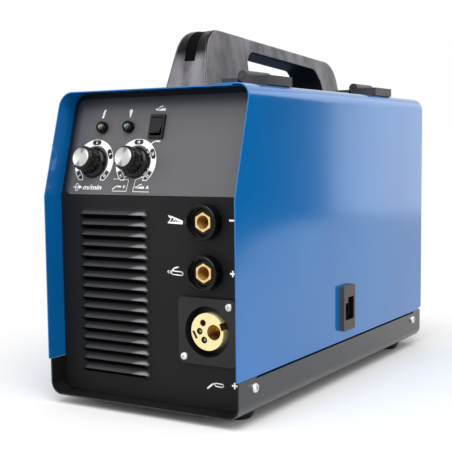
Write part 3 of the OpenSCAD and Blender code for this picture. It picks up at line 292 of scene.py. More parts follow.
@dataclass(frozen=True)
class Finish:
    """A surface finish with two shades, made into a material once."""

    name: str
    colour: Colour
    second: Colour

    def shade(self, graph: Graph, factor: Any) -> Sig:
        """The finish's two shades, mixed by a factor."""
        return graph.mix(factor, self.colour, self.second)

    def tone(self, graph: Graph, base: Sig) -> tuple[Sig, Any]:
        """The colour with any painted highlights and shade, and how far these take its sheen away."""
        return base, 0.0

    def build(self, graph: Graph) -> Any:
        """Fills the graph and returns the material."""
        raise NotImplementedError

    def material(self) -> Any:
        """The material of this finish, made on first use."""
        return bpy.data.materials.get(self.name) or self.build(Graph(self.name))


@dataclass(frozen=True)
class GlossPaint(Finish):
    """Smooth baked paint on sheet steel, with orange peel and faint dust."""

    rough: float = 0.15
    coat: float = 0.34
    metallic: float = 0.18

    def build(self, graph: Graph) -> Any:
        """Paint over a slow change of depth.

        Args:
            graph: the empty tree.

        Returns:
            The material.
        """
        cloud = graph.noise(7.0, 3.0)
        dust = graph.noise(160.0, 5.0, 0.7)
        peel = graph.noise(900.0, 1.0)
        fine = graph.noise(3200.0)
        normal = graph.bump(peel * 0.7 + fine * 0.3, 0.06, 0.0001)
        rough = self.rough + dust.ramp(0.45, 0.8) * 0.05 + (cloud - 0.5) * 0.04
        return graph.finish(self.shade(graph, cloud.ramp(0.35, 0.7)), rough, normal,
                            Coat_Weight=self.coat, Coat_Roughness=0.08, Specular_IOR_Level=0.5,
                            Metallic=self.metallic)


@dataclass(frozen=True)
class GrainPaint(Finish):
    """Fine textured powder paint, with a lacquer that starts behind a place along Y."""

    rough: float = 0.5
    grain: float = 1500.0
    depth: float = 0.00012
    shine: float = 0.15
    coat: float = 0.0
    coat_from: float = 0.0

    def build(self, graph: Graph) -> Any:
        """Small rounded grains over a slow change of tone.

        Args:
            graph: the empty tree.

        Returns:
            The material.
        """
        grain = graph.noise(self.grain, 2.0, 0.6)
        cloud = graph.noise(9.0, 3.0)
        base = self.shade(graph, grain.ramp(0.45, 0.75) * 0.5 + cloud.ramp(0.3, 0.8) * 0.4)
        coat = graph.axes()[1].ramp(self.coat_from, self.coat_from + 2.0 * MM) * self.coat
        colour, dull = self.tone(graph, base)
        rough = self.rough + (cloud - 0.5) * 0.12
        return graph.finish(colour, rough, graph.bump(grain, 0.45, self.depth), Metallic=dull,
                            Specular_IOR_Level=self.shine, Coat_Weight=coat, Coat_Roughness=0.3)


@dataclass(frozen=True)
class LouvredPaint(GrainPaint):
    """Powder paint over pressed louvres, with a painted highlight on their crowns and painted black shade
    under their lips.

    Heights within a louvre are shares of the pitch, counted down from the louvre's top.
    """

    # colours of the painted highlight on the crowns, of the painted highlight at the right ends (end), and
    # of the painted shade under the lips
    crown_highlight: Colour = rgb(62, 62, 65)
    end: Colour = rgb(136, 136, 139)
    gap_shade: Colour = rgb(1, 1, 2)
    face: float = at(0, 25, 0).y
    top: float = at(0, 0, 196.1).z
    across: Flat = (at(-93.0, 0, 0).x, at(-4.0, 0, 0).x)
    pitch: float = 10.8
    count: int = 16
    # shares of the pitch where the painted highlight rises and falls and where the painted shade under the
    # lips and over the tops begins; the width in mm of the right ends' painted highlight
    highlight_in: Flat = (0.08, 0.5)
    highlight_out: Flat = (0.6, 0.67)
    lip_shade: Flat = (0.61, 0.68)
    brow_shade: Flat = (0.0, 0.2)
    end_highlight_width: float = 26.0

    def tone(self, graph: Graph, base: Sig) -> tuple[Sig, Any]:
        """Paints a highlight and shade that follow the height within each louvre, with the highlight
        lightest at its right end.

        Args:
            graph: the material's tree.
            base: the paint's own colour.

        Returns:
            The colour, and how far it loses its sheen.
        """
        x, y, z = graph.axes()
        left, right = self.across
        drop = (self.top - z) / (self.pitch * MM)
        within = drop.ramp(-0.02, 0.02) * (1.0 - drop.ramp(self.count - 0.02, self.count + 0.02))
        within = within * x.ramp(left + 2.0 * MM, left + 12.0 * MM)
        within = within * (1.0 - x.ramp(right - 2.0 * MM, right))
        share = drop.math("FRACT")
        out = (self.face - y).ramp(0.6 * MM, 3.0 * MM)
        # painted highlight on each crown, brighter towards the right end
        crown_highlight = out * share.ramp(*self.highlight_in) * (1.0 - share.ramp(*self.highlight_out))
        last = ((x - (right - self.end_highlight_width * MM)) * 50.0 + share * 1.5).ramp(1.1, 1.7)
        # painted shade under each lip, running on over the top of the next louvre; it also takes the sheen
        # away
        brow_shade = (1.0 - share.ramp(*self.brow_shade)) * drop.ramp(0.5, 1.0)
        gap_shade = within * (share.ramp(*self.lip_shade) + brow_shade * 0.85)
        highlighted = graph.mix(crown_highlight, base, graph.mix(last, self.crown_highlight, self.end))
        return graph.mix(gap_shade, highlighted, self.gap_shade), gap_shade


@dataclass(frozen=True)
class Moulded(Finish):
    """Moulded plastic: a fine skin, a little flow shading and rubbed gloss."""

    rough: float = 0.4
    skin: float = 1100.0
    depth: float = 0.00005
    streak: Point = (1.0, 1.0, 1.0)
    flow: float = 30.0
    shine: float = 0.5

    def build(self, graph: Graph) -> Any:
        """Skin grain, stretched flow marks and changing gloss.

        Args:
            graph: the empty tree.

        Returns:
            The material.
        """
        flow = graph.noise(self.flow, 4.0, 0.55, self.streak)
        skin = graph.noise(self.skin)
        base, dull = self.tone(graph, self.shade(graph, flow.ramp(0.35, 0.72)))
        rough = self.rough + (flow - 0.5) * 0.22 + (skin - 0.5) * 0.08
        return graph.finish(base, rough, graph.bump(skin, 0.3, self.depth),
                            Specular_IOR_Level=self.shine, Metallic=dull)


@dataclass(frozen=True)
class GripPlastic(Moulded):
    """Moulded plastic with a painted shade round the nose, between the grip's two sides."""

    # the colour of the painted shade
    dark: Colour = BLACK
    middle: float = 0.0
    half: Flat = (0.017, 0.0225)
    start: Flat = (0.0, 1.0)
    end: Flat = (0.0, 1.0)

    def tone(self, graph: Graph, base: Sig) -> tuple[Sig, Any]:
        """Painted shade high on the front post, fading along the grip, down its sides and down the post.

        Args:
            graph: the material's tree.
            base: the plastic's own colour.

        Returns:
            The colour, and how far it loses its sheen.
        """
        x, y, z = graph.axes()
        between = 1.0 - (x - self.middle).math("ABSOLUTE").ramp(*self.half)
        # painted shade, which also takes the sheen away
        wear_and_shade = between * z.ramp(*self.start) * (1.0 - y.ramp(*self.end))
        return graph.mix(wear_and_shade * 0.95, base, self.dark), wear_and_shade * 0.6


@dataclass(frozen=True)
class Metal(Finish):
    """Plated, cast or rolled metal with brushing along one direction."""

    rough: float = 0.28
    brush: Point = (1.0, 1.0, 1.0)
    scale: float = 300.0
    depth: float = 0.00003
    metallic: float = 1.0

    def build(self, graph: Graph) -> Any:
        """Brush lines over cloudy tarnish.

        Args:
            graph: the empty tree.

        Returns:
            The material.
        """
        lines = graph.noise(self.scale, 4.0, 0.6, self.brush)
        cloud = graph.noise(45.0, 3.0)
        base = self.shade(graph, cloud.ramp(0.4, 0.75) * 0.6 + lines.ramp(0.5, 0.8) * 0.3)
        return graph.finish(base, self.rough + (cloud - 0.5) * 0.2, graph.bump(lines, 0.35, self.depth),
                            Metallic=self.metallic)


@dataclass(frozen=True)
class TurnedMetal(Finish):
    """Metal faced on a lathe: fine rings about an axis, and a painted reflection of two darker sectors
    along its bow.
    """

    centre: Point
    axis: Point
    reflection_bow: Point
    # the colour of the painted reflection's darker sectors
    reflection_shade_colour: Colour = rgb(84, 82, 79)
    pitch: float = 0.32
    rough: float = 0.3
    rings: float = 0.4

    def build(self, graph: Graph) -> Any:
        """Rings whose height and tone follow the distance from the axis.

        Args:
            graph: the empty tree.

        Returns:
            The material.
        """
        turns = graph.reach(self.centre, self.axis) * (2.0 * math.pi / (self.pitch * MM))
        wave = turns.math("SINE")
        cloud = graph.noise(220.0, 3.0)
        base = self.shade(graph, wave.ramp(-1.0, 1.0) * 0.22 + cloud.ramp(0.4, 0.8) * 0.3)
        # painted reflection: two darker sectors along the bow
        reflection_sector = graph.reflection_sector(self.centre, self.axis, self.reflection_bow, 0.84)
        normal = graph.bump(wave * 0.5 + cloud * 0.4, self.rings, 0.00003)
        return graph.finish(graph.mix(reflection_sector * 0.85, base, self.reflection_shade_colour),
                            self.rough + (cloud - 0.5) * 0.1, normal, Metallic=1.0)


@dataclass(frozen=True)
class BoredBrass(Finish):
    """Pale faced brass, with painted light on its flanks, its second shade painted inside bores and slots
    as shade, and painted reflections in the bores.

    The radii are in mm, about axes along Y.
    """

    # the colour of the painted light on the flanks
    lit_flank: Colour
    centres: tuple[Point, ...]
    radius: float
    face: float
    bores: tuple[Point, ...]
    bore_radius: float
    # the colour of the painted reflections in the bores, and the direction that they lie along
    glint: Colour
    towards: Point
    rough: float = 0.24
    rim: float = 0.1

    def inside(self, graph: Graph, centre: Point, radius: float) -> Sig:
        """1 within a radius of an axis and 0 outside it, with a soft rim."""
        return 1.0 - graph.reach(centre, BACK).ramp((radius - self.rim) * MM, (radius + self.rim) * MM)

    def build(self, graph: Graph) -> Any:
        """The painted light and shade follow the depth behind the face and the distance from the axes.

        Args:
            graph: the empty tree.

        Returns:
            The material.
        """
        near = sum(self.inside(graph, centre, self.radius) for centre in self.centres)
        behind = (graph.axes()[1] - self.face).ramp(0.2 * MM, 0.5 * MM)
        # painted shade inside the bores and slots, painted light on the flanks
        inner, side = behind * near, behind * (1.0 - near)
        lines = graph.noise(420.0, 3.0, 0.6)
        cloud = graph.noise(120.0, 3.0)
        wear_and_shade = graph.mix(cloud.ramp(0.4, 0.8) * 0.3 + lines.ramp(0.5, 0.8) * 0.2, self.colour, self.lit_flank)
        # painted reflections: two bright sectors in each bore
        shine = sum(self.inside(graph, centre, self.bore_radius)
                    * graph.reflection_sector(centre, BACK, self.towards, 0.55) for centre in self.bores)
        shaded_bore = graph.mix(shine, self.second, self.glint)
        base = graph.mix(inner, graph.mix(side, wear_and_shade, self.lit_flank), shaded_bore)
        rough = self.rough + inner * 0.12 + (cloud - 0.5) * 0.12
        return graph.finish(base, rough, graph.bump(lines, 0.25, 0.00003),
                            Metallic=1.0 - inner * 0.6 - side * 0.85)


@dataclass(frozen=True)
class Rubber(Finish):
    """Soft black rubber with a dusty skin."""

    rough: float = 0.75
    shine: float = 0.25

    def build(self, graph: Graph) -> Any:
        """Matt pores and dust.

        Args:
            graph: the empty tree.

        Returns:
            The material.
        """
        pores = graph.noise(1400.0, 3.0)
        dust = graph.noise(60.0, 4.0, 0.7)
        return graph.finish(self.shade(graph, dust.ramp(0.5, 0.8) * 0.5), self.rough + (dust - 0.5) * 0.2,
                            graph.bump(pores, 0.4, 0.00008), Specular_IOR_Level=self.shine)


@dataclass(frozen=True)
class Ink(Finish):
    """Screen-printed ink with a slightly uneven film."""

    def build(self, graph: Graph) -> Any:
        """A film that thins in spots.

        Args:
            graph: the empty tree.

        Returns:
            The material.
        """
        film = graph.noise(700.0, 3.0, 0.6)
        return graph.finish(self.shade(graph, film.ramp(0.5, 0.85) * 0.35), 0.45 + (film - 0.5) * 0.15,
                            graph.bump(film, 0.1, 0.00002), Specular_IOR_Level=0.3)


@dataclass(frozen=True)
class LampGlass(Finish):
    """Two tinted lenses, in the first shade on the left and the second on the right."""

    centres: tuple[Point, Point]
    axis: Point

    def build(self, graph: Graph) -> Any:
        """The tint changes between the lenses, and a small glow sits on each lens's axis.

        Args:
            graph: the empty tree.

        Returns:
            The material.
        """
        split = sum(centre[0] for centre in self.centres) / 2.0
        tint = self.shade(graph, graph.axes()[0].ramp(split - MM, split + MM))
        left, right = (graph.reach(centre, self.axis) for centre in self.centres)
        middle = 1.0 - left.math("MINIMUM", right).ramp(0.2 * MM, 2.6 * MM)
        ribs = graph.noise(900.0, 1.0)
        base = graph.mix(middle * 0.3, tint, rgb(225, 235, 190))
        return graph.finish(base, 0.12 + ribs * 0.05, graph.bump(ribs, 0.2, 0.0001), Coat_Weight=0.6,
                            Coat_Roughness=0.05, Emission_Color=graph.mix(middle, BLACK, tint),
                            Emission_Strength=0.12)


@dataclass(frozen=True)
class Board(Finish):
    """Green circuit board with tracks under a glossy mask."""

    track: Colour = rgb(60, 128, 84)
    solder: Colour = rgb(172, 168, 150)

    def build(self, graph: Graph) -> Any:
        """Square tracks and small pads.

        Args:
            graph: the empty tree.

        Returns:
            The material.
        """
        cells = graph.sig("ShaderNodeTexBrick", {"offset": 0.5},
                          {"Vector": graph.place(), "Color1": self.colour, "Color2": self.second,
                           "Mortar": self.track, "Scale": 90.0, "Mortar Size": 0.018})
        specks = graph.noise(420.0, 1.0)
        return graph.finish(graph.mix(specks.ramp(0.66, 0.7), cells, self.solder),
                            0.3 + (specks - 0.5) * 0.1, graph.bump(specks, 0.2, 0.0001))


@dataclass(frozen=True)
class Overlay(Finish):
    """Even satin grey foil, with a painted shade in its second shade along its rim.

    The shade borders are the widths in mm over which the painted shade fades on the left, on the right and
    at the top.
    """

    low: Point
    high: Point
    shade_borders: Point = (10.0, 4.0, 16.0)
    cloudy: Colour = rgb(98, 97, 100)

    def build(self, graph: Graph) -> Any:
        """Satin foil, with painted shade towards its rim.

        Args:
            graph: the empty tree.

        Returns:
            The material.
        """
        x, _, z = graph.axes()
        left, right, top = (width * MM for width in self.shade_borders)
        inside = (x - self.low[0]).ramp(0.0, left) * (self.high[0] - x).ramp(0.0, right)
        inside = inside * (self.high[2] - z).ramp(0.0, top)
        foil = graph.noise(2200.0)
        grey = graph.mix(graph.noise(14.0) * 0.5, self.colour, self.cloudy)
        return graph.finish(graph.mix(inside, self.second, grey), 0.42 + (foil - 0.5) * 0.1,
                            graph.bump(foil, 0.22, 0.00005), Specular_IOR_Level=0.4)


class Tint:
    """The finishes that this machine uses by name."""

    BLUE = GlossPaint("blue_paint", rgb(0, 112, 186), rgb(0, 105, 178))
    BLACK = GrainPaint("black_panel_paint", rgb(21, 21, 23), rgb(31, 31, 33))
    # powder paint with painted highlights and shade on the louvres
    FRONT = LouvredPaint("black_front_paint", rgb(21, 21, 23), rgb(31, 31, 33))
    TRAY = GrainPaint("tray_paint", rgb(13, 13, 15), rgb(26, 26, 27), coat=1.0, coat_from=at(0, 2, 0).y)
    PRINT = Ink("white_ink", rgb(252, 252, 251), rgb(238, 238, 238))
    DARK_PRINT = Ink("dark_ink", rgb(44, 45, 48), rgb(56, 57, 60))
    HANDLE = Moulded("handle_plastic", rgb(80, 77, 79), rgb(128, 124, 126), rough=0.42, flow=34.0,
                     streak=(1.6, 1.0, 0.5), depth=0.00006)
    # painted shade for the grip's underside and the rear post's inner face
    HANDLE_SHADE = Moulded("handle_shade_plastic", rgb(13, 11, 10), rgb(24, 21, 20), rough=0.6, shine=0.1)
    STRIP = Rubber("soft_strip_rubber", rgb(4, 4, 5), rgb(9, 9, 10), rough=0.85, shine=0.06)
    HINGE = Moulded("hinge_plastic", rgb(42, 42, 44), rgb(60, 59, 60))
    KNOB = Moulded("knob_plastic", rgb(4, 4, 5), rgb(9, 9, 10), rough=0.18, flow=80.0, shine=0.3)
    SOCKET = Moulded("socket_plastic", rgb(6, 6, 8), rgb(11, 11, 13), rough=0.2, flow=70.0, shine=0.22)
    FLANGE = Moulded("flange_plastic", rgb(19, 19, 21), rgb(27, 27, 29), skin=1500.0, shine=0.35)
    SWITCH = Moulded("switch_plastic", rgb(9, 9, 11), rgb(17, 17, 19), rough=0.3, shine=0.35)
    LATCH = Moulded("latch_plastic", rgb(58, 56, 53), rgb(72, 69, 65), rough=0.45)
    # painted shade for the inside of the latch's pocket
    POCKET_SHADE = Moulded("latch_pocket_shade", rgb(5, 5, 6), rgb(9, 9, 10), rough=0.6, shine=0.15)
    FEED = Moulded("feeder_plastic", rgb(30, 31, 33), rgb(48, 49, 51), rough=0.45)
    RED = Moulded("red_key_plastic", rgb(150, 24, 22), rgb(170, 34, 30), rough=0.25)
    LACQUER = Moulded("winding_lacquer", rgb(122, 66, 30), rgb(154, 90, 44), rough=0.3, flow=200.0)
    SLEEVE = Moulded("sleeve_plastic", rgb(32, 34, 46), rgb(44, 46, 60), rough=0.24)
    RUBBER = Rubber("foot_rubber", rgb(26, 26, 27), rgb(52, 51, 49))
    ZINC = Metal("zinc_plate", rgb(238, 239, 240), rgb(190, 193, 197), rough=0.42)
    PIN = Metal("dark_pin_steel", rgb(88, 88, 90), rgb(60, 60, 62), rough=0.35)
    TIP = Metal("bright_pin_steel", rgb(150, 150, 146), rgb(112, 112, 110), rough=0.5, metallic=0.3)
    GALVANISED = Metal("galvanised_sheet", rgb(186, 190, 193), rgb(160, 165, 168), rough=0.42, scale=90.0)
    CAST = Metal("cast_alloy", rgb(196, 198, 200), rgb(150, 152, 155), rough=0.48, scale=700.0,
                 depth=0.0001)
    GROUND = Metal("ground_steel", rgb(206, 208, 210), rgb(150, 152, 154), rough=0.22,
                   brush=(0.1, 1.0, 1.0))
    FINS = Metal("fin_alloy", rgb(200, 202, 204), rgb(165, 168, 170), rough=0.36, brush=(1.0, 0.05, 1.0))
    COPPER = Metal("copper_wire", rgb(232, 158, 112), rgb(190, 116, 76), rough=0.34, metallic=0.6,
                   brush=(8.0, 0.4, 0.4))
    VALVE = Metal("valve_brass", rgb(206, 180, 122), rgb(156, 130, 80), rough=0.3)
    BOARD = Board("circuit_board", rgb(24, 92, 60), rgb(18, 76, 50))


# ---------------------------------------------------------------- mesh building

def show(name: str, bm: Any, material: Any) -> Any:
    """Turns a bmesh into an object of the scene.

    Args:
        name: the object's name.
        bm: the bmesh, which is freed.
        material: its first material.

    Returns:
        The object.
    """
    mesh = bpy.data.meshes.new(name)
    bm.to_mesh(mesh)
    bm.free()
    mesh.materials.append(material)
    made = bpy.data.objects.new(name, mesh)
    bpy.context.scene.collection.objects.link(made)
    return made


def sweep(bm: Any, geometry: list[Any], angle: float, steps: int, closed: bool = False) -> None:
    """Spins corners and edges about Z by an angle in radians, and joins the ends if closed."""
    bmesh.ops.spin(bm, geom=geometry, cent=NOWHERE, axis=UP, dvec=NOWHERE, angle=angle, steps=steps,
                   use_merge=closed, use_duplicate=False)


class Shape:
    """A mesh in the making, in metres in the shared frame."""

    def __init__(self, bm: Any = None) -> None:
        """Starts from a given bmesh or an empty one."""
        self.bm = bm or bmesh.new()

    @classmethod
    def of_node(cls, node: str) -> "Shape":
        """Copies a CAD node, and joins its flat areas into single faces.

        Args:
            node: the node's name.

        Returns:
            The copy.
        """
        bm = bmesh.new()
        bm.from_mesh(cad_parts[node].data)
        bmesh.ops.remove_doubles(bm, verts=bm.verts, dist=2e-6)
        bmesh.ops.dissolve_limit(bm, angle_limit=math.radians(0.6), verts=bm.verts, edges=bm.edges)
        return cls(bm)

    def add(self, other: "Shape") -> "Shape":
        """Takes in another shape.

        Args:
            other: the shape, which is used up.

        Returns:
            The same shape.
        """
        carrier = bpy.data.meshes.new("carrier")
        other.bm.to_mesh(carrier)
        self.bm.from_mesh(carrier)
        bpy.data.meshes.remove(carrier)
        other.bm.free()
        return self

    def move(self, matrix: Matrix) -> "Shape":
        """Applies a matrix to every point and returns self."""
        bmesh.ops.transform(self.bm, matrix=matrix, verts=self.bm.verts)
        return self

    def soften(self, width: float, steps: int, turn: float,
               pick: Callable[[Any], bool] | None = None) -> "Shape":
        """Bevels sharp outer edges.

        Args:
            width: the bevel's width in mm.
            steps: the number of steps.
            turn: edges that turn by less, in degrees, stay.
            pick: a test that an edge must pass too.

        Returns:
            The same shape.
        """
        limit = math.radians(turn)
        edges = [e for e in self.bm.edges if len(e.link_faces) == 2
                 and e.calc_face_angle_signed(0.0) > limit and (pick is None or pick(e))]
        bmesh.ops.bevel(self.bm, geom=edges, offset=width * MM, offset_type="OFFSET", segments=steps,
                        profile=0.5, affect="EDGES", clamp_overlap=True, material=-1)
        return self

    def piece(self, name: str, finish: Finish, body: Body, slot: Slot, replaces: Sequence[str] = (),
              angle: float = 32.0, weighted: bool = False) -> Any:
        """Turns the shape into a finished object that rides on a body.

        Args:
            name: the object's name.
            finish: its surface finish.
            body: the CAD body that it moves with.
            slot: the record's material slot; not used.
            replaces: CAD nodes that it stands for.
            angle: edges that turn by more, in degrees, shade sharp.
            weighted: whether big faces keep flat shading next to small bevels.

        Returns:
            The object.
        """
        bmesh.ops.remove_doubles(self.bm, verts=self.bm.verts, dist=1e-7)
        limit = math.radians(angle)
        for face in self.bm.faces:
            face.smooth = True
        for edge in self.bm.edges:
            edge.smooth = len(edge.link_faces) == 2 and edge.calc_face_angle(math.pi) < limit
        made = show(name, self.bm, finish.material())
        if weighted:
            shade = made.modifiers.new("flat_faces", "WEIGHTED_NORMAL")
            shade.keep_sharp = True
        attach(made, body)
        if replaces:
            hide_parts(*replaces)
        LOG.info("%s: %d faces on %s", name, len(made.data.polygons), body)
        return made


@dataclass(frozen=True)
class Edge:
    """How a copy of a CAD node is softened and shaded.

    The width is in mm. Edges are bevelled where they turn by more than turn, and shade sharp where
    they turn by more than shade, both in degrees. Flat keeps big faces flat beside small bevels.
    """

    width: float
    steps: int = 3
    turn: float = 50.0
    shade: float = 35.0
    flat: bool = True


def mould(node: str, finish: Finish, edge: Edge, body: Body = Body.CASE, slot: Slot = Slot.BLACK_PLASTIC,
          suffix: str = "moulded", pick: Callable[[Any], bool] | None = None) -> Any:
    """Puts a softened copy in the place of a CAD node.

    Args:
        node: the node's name.
        finish: the copy's surface finish.
        edge: how it is softened.
        body: the CAD body that it moves with.
        slot: the record's material slot; not used, as the piece doesn't read it.
        suffix: what its name adds to the node's.
        pick: a test that a bevelled edge must pass.

    Returns:
        The object.
    """
    shape = Shape.of_node(node).soften(edge.width, edge.steps, edge.turn, pick)
    return shape.piece(f"{node}_{suffix}", finish, body, slot, (node,), edge.shade, edge.flat)


def dress(finish: Finish, *nodes: str) -> None:
    """Gives CAD nodes a finish.

    Args:
        finish: the finish.
        nodes: the nodes' names.
    """
    for node in nodes:
        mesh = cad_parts[node].data
        mesh.materials.clear()
        mesh.materials.append(finish.material())
        LOG.info("%s dressed in %s", node, finish.name)


def repaint(made: Any, finish: Finish, test: Callable[[Any], bool]) -> None:
    """Gives the faces of an object that pass a test a second finish.

    Args:
        made: the object.
        finish: the second finish.
        test: what tells such a face.
    """
    made.data.materials.append(finish.material())
    for face in made.data.polygons:
        if test(face):
            face.material_index = 1


def spun(profile: Sequence[Flat], matrix: Matrix, steps: int) -> Shape:
    """A turned shape from a profile of (radius, height) in mm, about the matrix's Z.

    Args:
        profile: points of the outline, from one end of the axis to the other or as a closed ring.
        matrix: where the axis lies, in metres.
        steps: the number of faces around.

    Returns:
        The closed shape.
    """
    bm = bmesh.new()
    corners = [bm.verts.new((radius * MM, 0.0, height * MM)) for radius, height in profile]
    edges = [bm.edges.new(pair) for pair in zip(corners, corners[1:])]
    if profile[0][0] > 0.0 and profile[-1][0] > 0.0:
        edges.append(bm.edges.new((corners[-1], corners[0])))
    sweep(bm, corners + edges, 2.0 * math.pi, steps, closed=True)
    bmesh.ops.remove_doubles(bm, verts=bm.verts, dist=1e-6)
    bmesh.ops.recalc_face_normals(bm, faces=bm.faces)
    return Shape(bm).move(matrix)


@dataclass(frozen=True)
class Plane:
    """A flat surface to print on: its origin, and its directions across, up and out."""

    origin: Vector
    across: Vector
    up: Vector

    @property
    def out(self) -> Vector:
        """The direction out of the surface."""
        return self.across.cross(self.up)

    def matrix(self, x: float, y: float, out: float = 0.0, turn: float = 0.0) -> Matrix:
        """A frame on the surface.

        Args:
            x: its place across, in mm.
            y: its place up, in mm.
            out: its distance out of the surface, in mm.
            turn: its turn in degrees.

        Returns:
            The frame's matrix.
        """
        spot = self.origin + self.across * x * MM + self.up * y * MM + self.out * out * MM
        basis = Matrix((self.across, self.up, self.out)).transposed().to_4x4()
        return Matrix.Translation(spot) @ basis @ Matrix.Rotation(math.radians(turn), 4, "Z")


# the control face runs back 31 mm over a height of 107 mm
LEAN = math.atan2(31.0, 107.0)
SLOPE = Plane(at(0, 25, 208), Vector(ACROSS), Vector((0, math.sin(LEAN), math.cos(LEAN))))
FRONT = Plane(at(0, 25, 0), Vector(ACROSS), Vector(UP))


class Printing:
    """Flat print gathered into one piece on a plane, with sizes in mm and turns in degrees."""

    FILM = 0.05
    STEP = 0.004
    LEVELS = 12

    def __init__(self, plane: Plane, out: float) -> None:
        """Starts a print on a plane, a distance out of it."""
        self.plane, self.out, self.shape, self.count = plane, out, Shape(), 0

    def _lay(self, bm: Any, x: float, y: float, turn: float = 0.0, lift: float = 0.0) -> "Printing":
        """Puts a flat mesh on the plane, each a hair higher than the one before.

        Args:
            bm: the flat mesh, in metres about its own middle.
            x: its place across.
            y: its place up.
            turn: its turn.
            lift: its distance above the print's plane.

        Returns:
            The same printing, as from all methods that print.
        """
        self.count = (self.count + 1) % self.LEVELS
        out = self.out + lift + self.count * self.STEP
        self.shape.add(Shape(bm).move(self.plane.matrix(x, y, out, turn)))
        return self

    def bar(self, start: Flat, end: Flat, width: float, lift: float = 0.0,
            rounded: bool = True) -> "Printing":
        """A straight line.

        Args:
            start: one end.
            end: the other end.
            width: how thick it is.
            lift: its distance above the print's plane.
            rounded: whether its ends are round.

        Returns:
            The same printing.
        """
        length, bm = math.dist(start, end), bmesh.new()
        size = Matrix.Diagonal((length * MM, width * MM, 1.0, 1.0))
        bmesh.ops.create_grid(bm, x_segments=1, y_segments=1, size=0.5, matrix=size)
        for end_x in (-0.5, 0.5) if rounded else ():
            bmesh.ops.create_circle(bm, cap_ends=True, radius=width * MM / 2.0, segments=12,
                                    matrix=Matrix.Translation((end_x * length * MM, 0.0, 0.0)))
        turn = math.degrees(math.atan2(end[1] - start[1], end[0] - start[0]))
        return self._lay(bm, (start[0] + end[0]) / 2.0, (start[1] + end[1]) / 2.0, turn, lift)

    def line(self, points: Sequence[Flat], width: float) -> "Printing":
        """A run of straight lines.

        Args:
            points: its corners in turn.
            width: how thick it is.

        Returns:
            The same printing.
        """
        for start, end in zip(points, points[1:]):
            self.bar(start, end, width)
        return self

    def fill(self, points: Sequence[Flat]) -> "Printing":
        """A filled outline.

        Args:
            points: its corners in turn.

        Returns:
            The same printing.
        """
        bm = bmesh.new()
        bm.faces.new([bm.verts.new((x * MM, y * MM, 0.0)) for x, y in points])
        bmesh.ops.triangulate(bm, faces=bm.faces)
        return self._lay(bm, 0.0, 0.0)

    def band(self, centre: Flat, inner: float, outer: float, start: float, end: float) -> "Printing":
        """Part of a ring.

        Args:
            centre: the ring's centre.
            inner: its inner radius.
            outer: its outer radius.
            start: where it starts, clockwise from straight up.
            end: where it ends.

        Returns:
            The same printing.
        """
        bm = bmesh.new()
        rim = [bm.verts.new((0.0, radius * MM, 0.0)) for radius in (inner, outer)]
        edge = bm.edges.new(rim)
        bmesh.ops.rotate(bm, verts=rim, cent=NOWHERE, matrix=Matrix.Rotation(-math.radians(start), 3, "Z"))
        sweep(bm, rim + [edge], math.radians(start - end), max(2, int((end - start) / 5.0)))
        return self._lay(bm, *centre)

    def pill(self, x: float, y: float, length: float, width: float, turn: float = 0.0,
             lift: float = 0.0) -> "Printing":
        """A rounded bar about a middle point.

        Args:
            x: the middle, across.
            y: the middle, up.
            length: its whole length.
            width: its width.
            turn: its turn.
            lift: its distance above the print's plane.

        Returns:
            The same printing.
        """
        half, angle = (length - width) / 2.0, math.radians(turn)
        way = (math.cos(angle) * half, math.sin(angle) * half)
        return self.bar((x - way[0], y - way[1]), (x + way[0], y + way[1]), width, lift)

    def disc(self, x: float, y: float, radius: float) -> "Printing":
        """A round dot.

        Args:
            x: the middle, across.
            y: the middle, up.
            radius: its radius.

        Returns:
            The same printing.
        """
        bm = bmesh.new()
        bmesh.ops.create_circle(bm, cap_ends=True, radius=radius * MM, segments=20)
        return self._lay(bm, x, y)

    def loop(self, x: float, y: float, length: float, height: float, width: float,
             turn: float = 0.0) -> "Printing":
        """The outline of a rounded bar about a middle point.

        Args:
            x: the middle, across.
            y: the middle, up.
            length: the bar's whole length.
            height: the bar's width.
            width: how thick the outline is.
            turn: the bar's turn.

        Returns:
            The same printing.
        """
        half, radius = (length - height) / 2.0, height / 2.0
        spin = Matrix.Rotation(math.radians(turn), 2)
        rim = []
        for middle, start in ((half, -90.0), (-half, 90.0)):
            for step in range(7):
                angle = math.radians(start + step * 30.0)
                spot = spin @ Vector((middle + radius * math.cos(angle), radius * math.sin(angle)))
                rim.append((x + spot.x, y + spot.y))
        return self.line(rim + rim[:1], width)

    def words(self, text: str, x: float, y: float, height: float, width: float = 0.0, turn: float = 0.0,
              lift: float = 0.0, slant: float = 0.0, weight: float = 0.03) -> "Printing":
        """Generic letters or numbers.

        Args:
            text: what to print.
            x: the middle, across.
            y: the middle, up.
            height: how high the print stands.
            width: how wide it runs, or 0 to keep the letters' own shape.
            turn: its turn.
            lift: its distance above the print's plane.
            slant: how far the letters lean.
            weight: how much bolder the strokes are, as a share of the letters' size.

        Returns:
            The same printing.
        """
        curve = bpy.data.curves.new("print", "FONT")
        curve.body, curve.resolution_u, curve.shear, curve.offset = text, 3, slant, weight
        holder = bpy.data.objects.new("print", curve)
        bpy.context.scene.collection.objects.link(holder)
        bpy.context.view_layer.update()
        whole = holder.evaluated_get(bpy.context.evaluated_depsgraph_get())
        mesh = bpy.data.meshes.new_from_object(whole)
        bm = bmesh.new()
        bm.from_mesh(mesh)
        bpy.data.objects.remove(holder)
        bpy.data.curves.remove(curve)
        bpy.data.meshes.remove(mesh)
        low, high = ([pick(v.co[i] for v in bm.verts) for i in range(2)] for pick in (min, max))
        up = height * MM / (high[1] - low[1])
        across = width * MM / (high[0] - low[0]) if width else up
        middle = (-(low[0] + high[0]) / 2.0, -(low[1] + high[1]) / 2.0, 0.0)
        bmesh.ops.translate(bm, vec=middle, verts=bm.verts)
        bmesh.ops.scale(bm, vec=(across, up, 1.0), verts=bm.verts)
        return self._lay(bm, x, y, turn, lift)

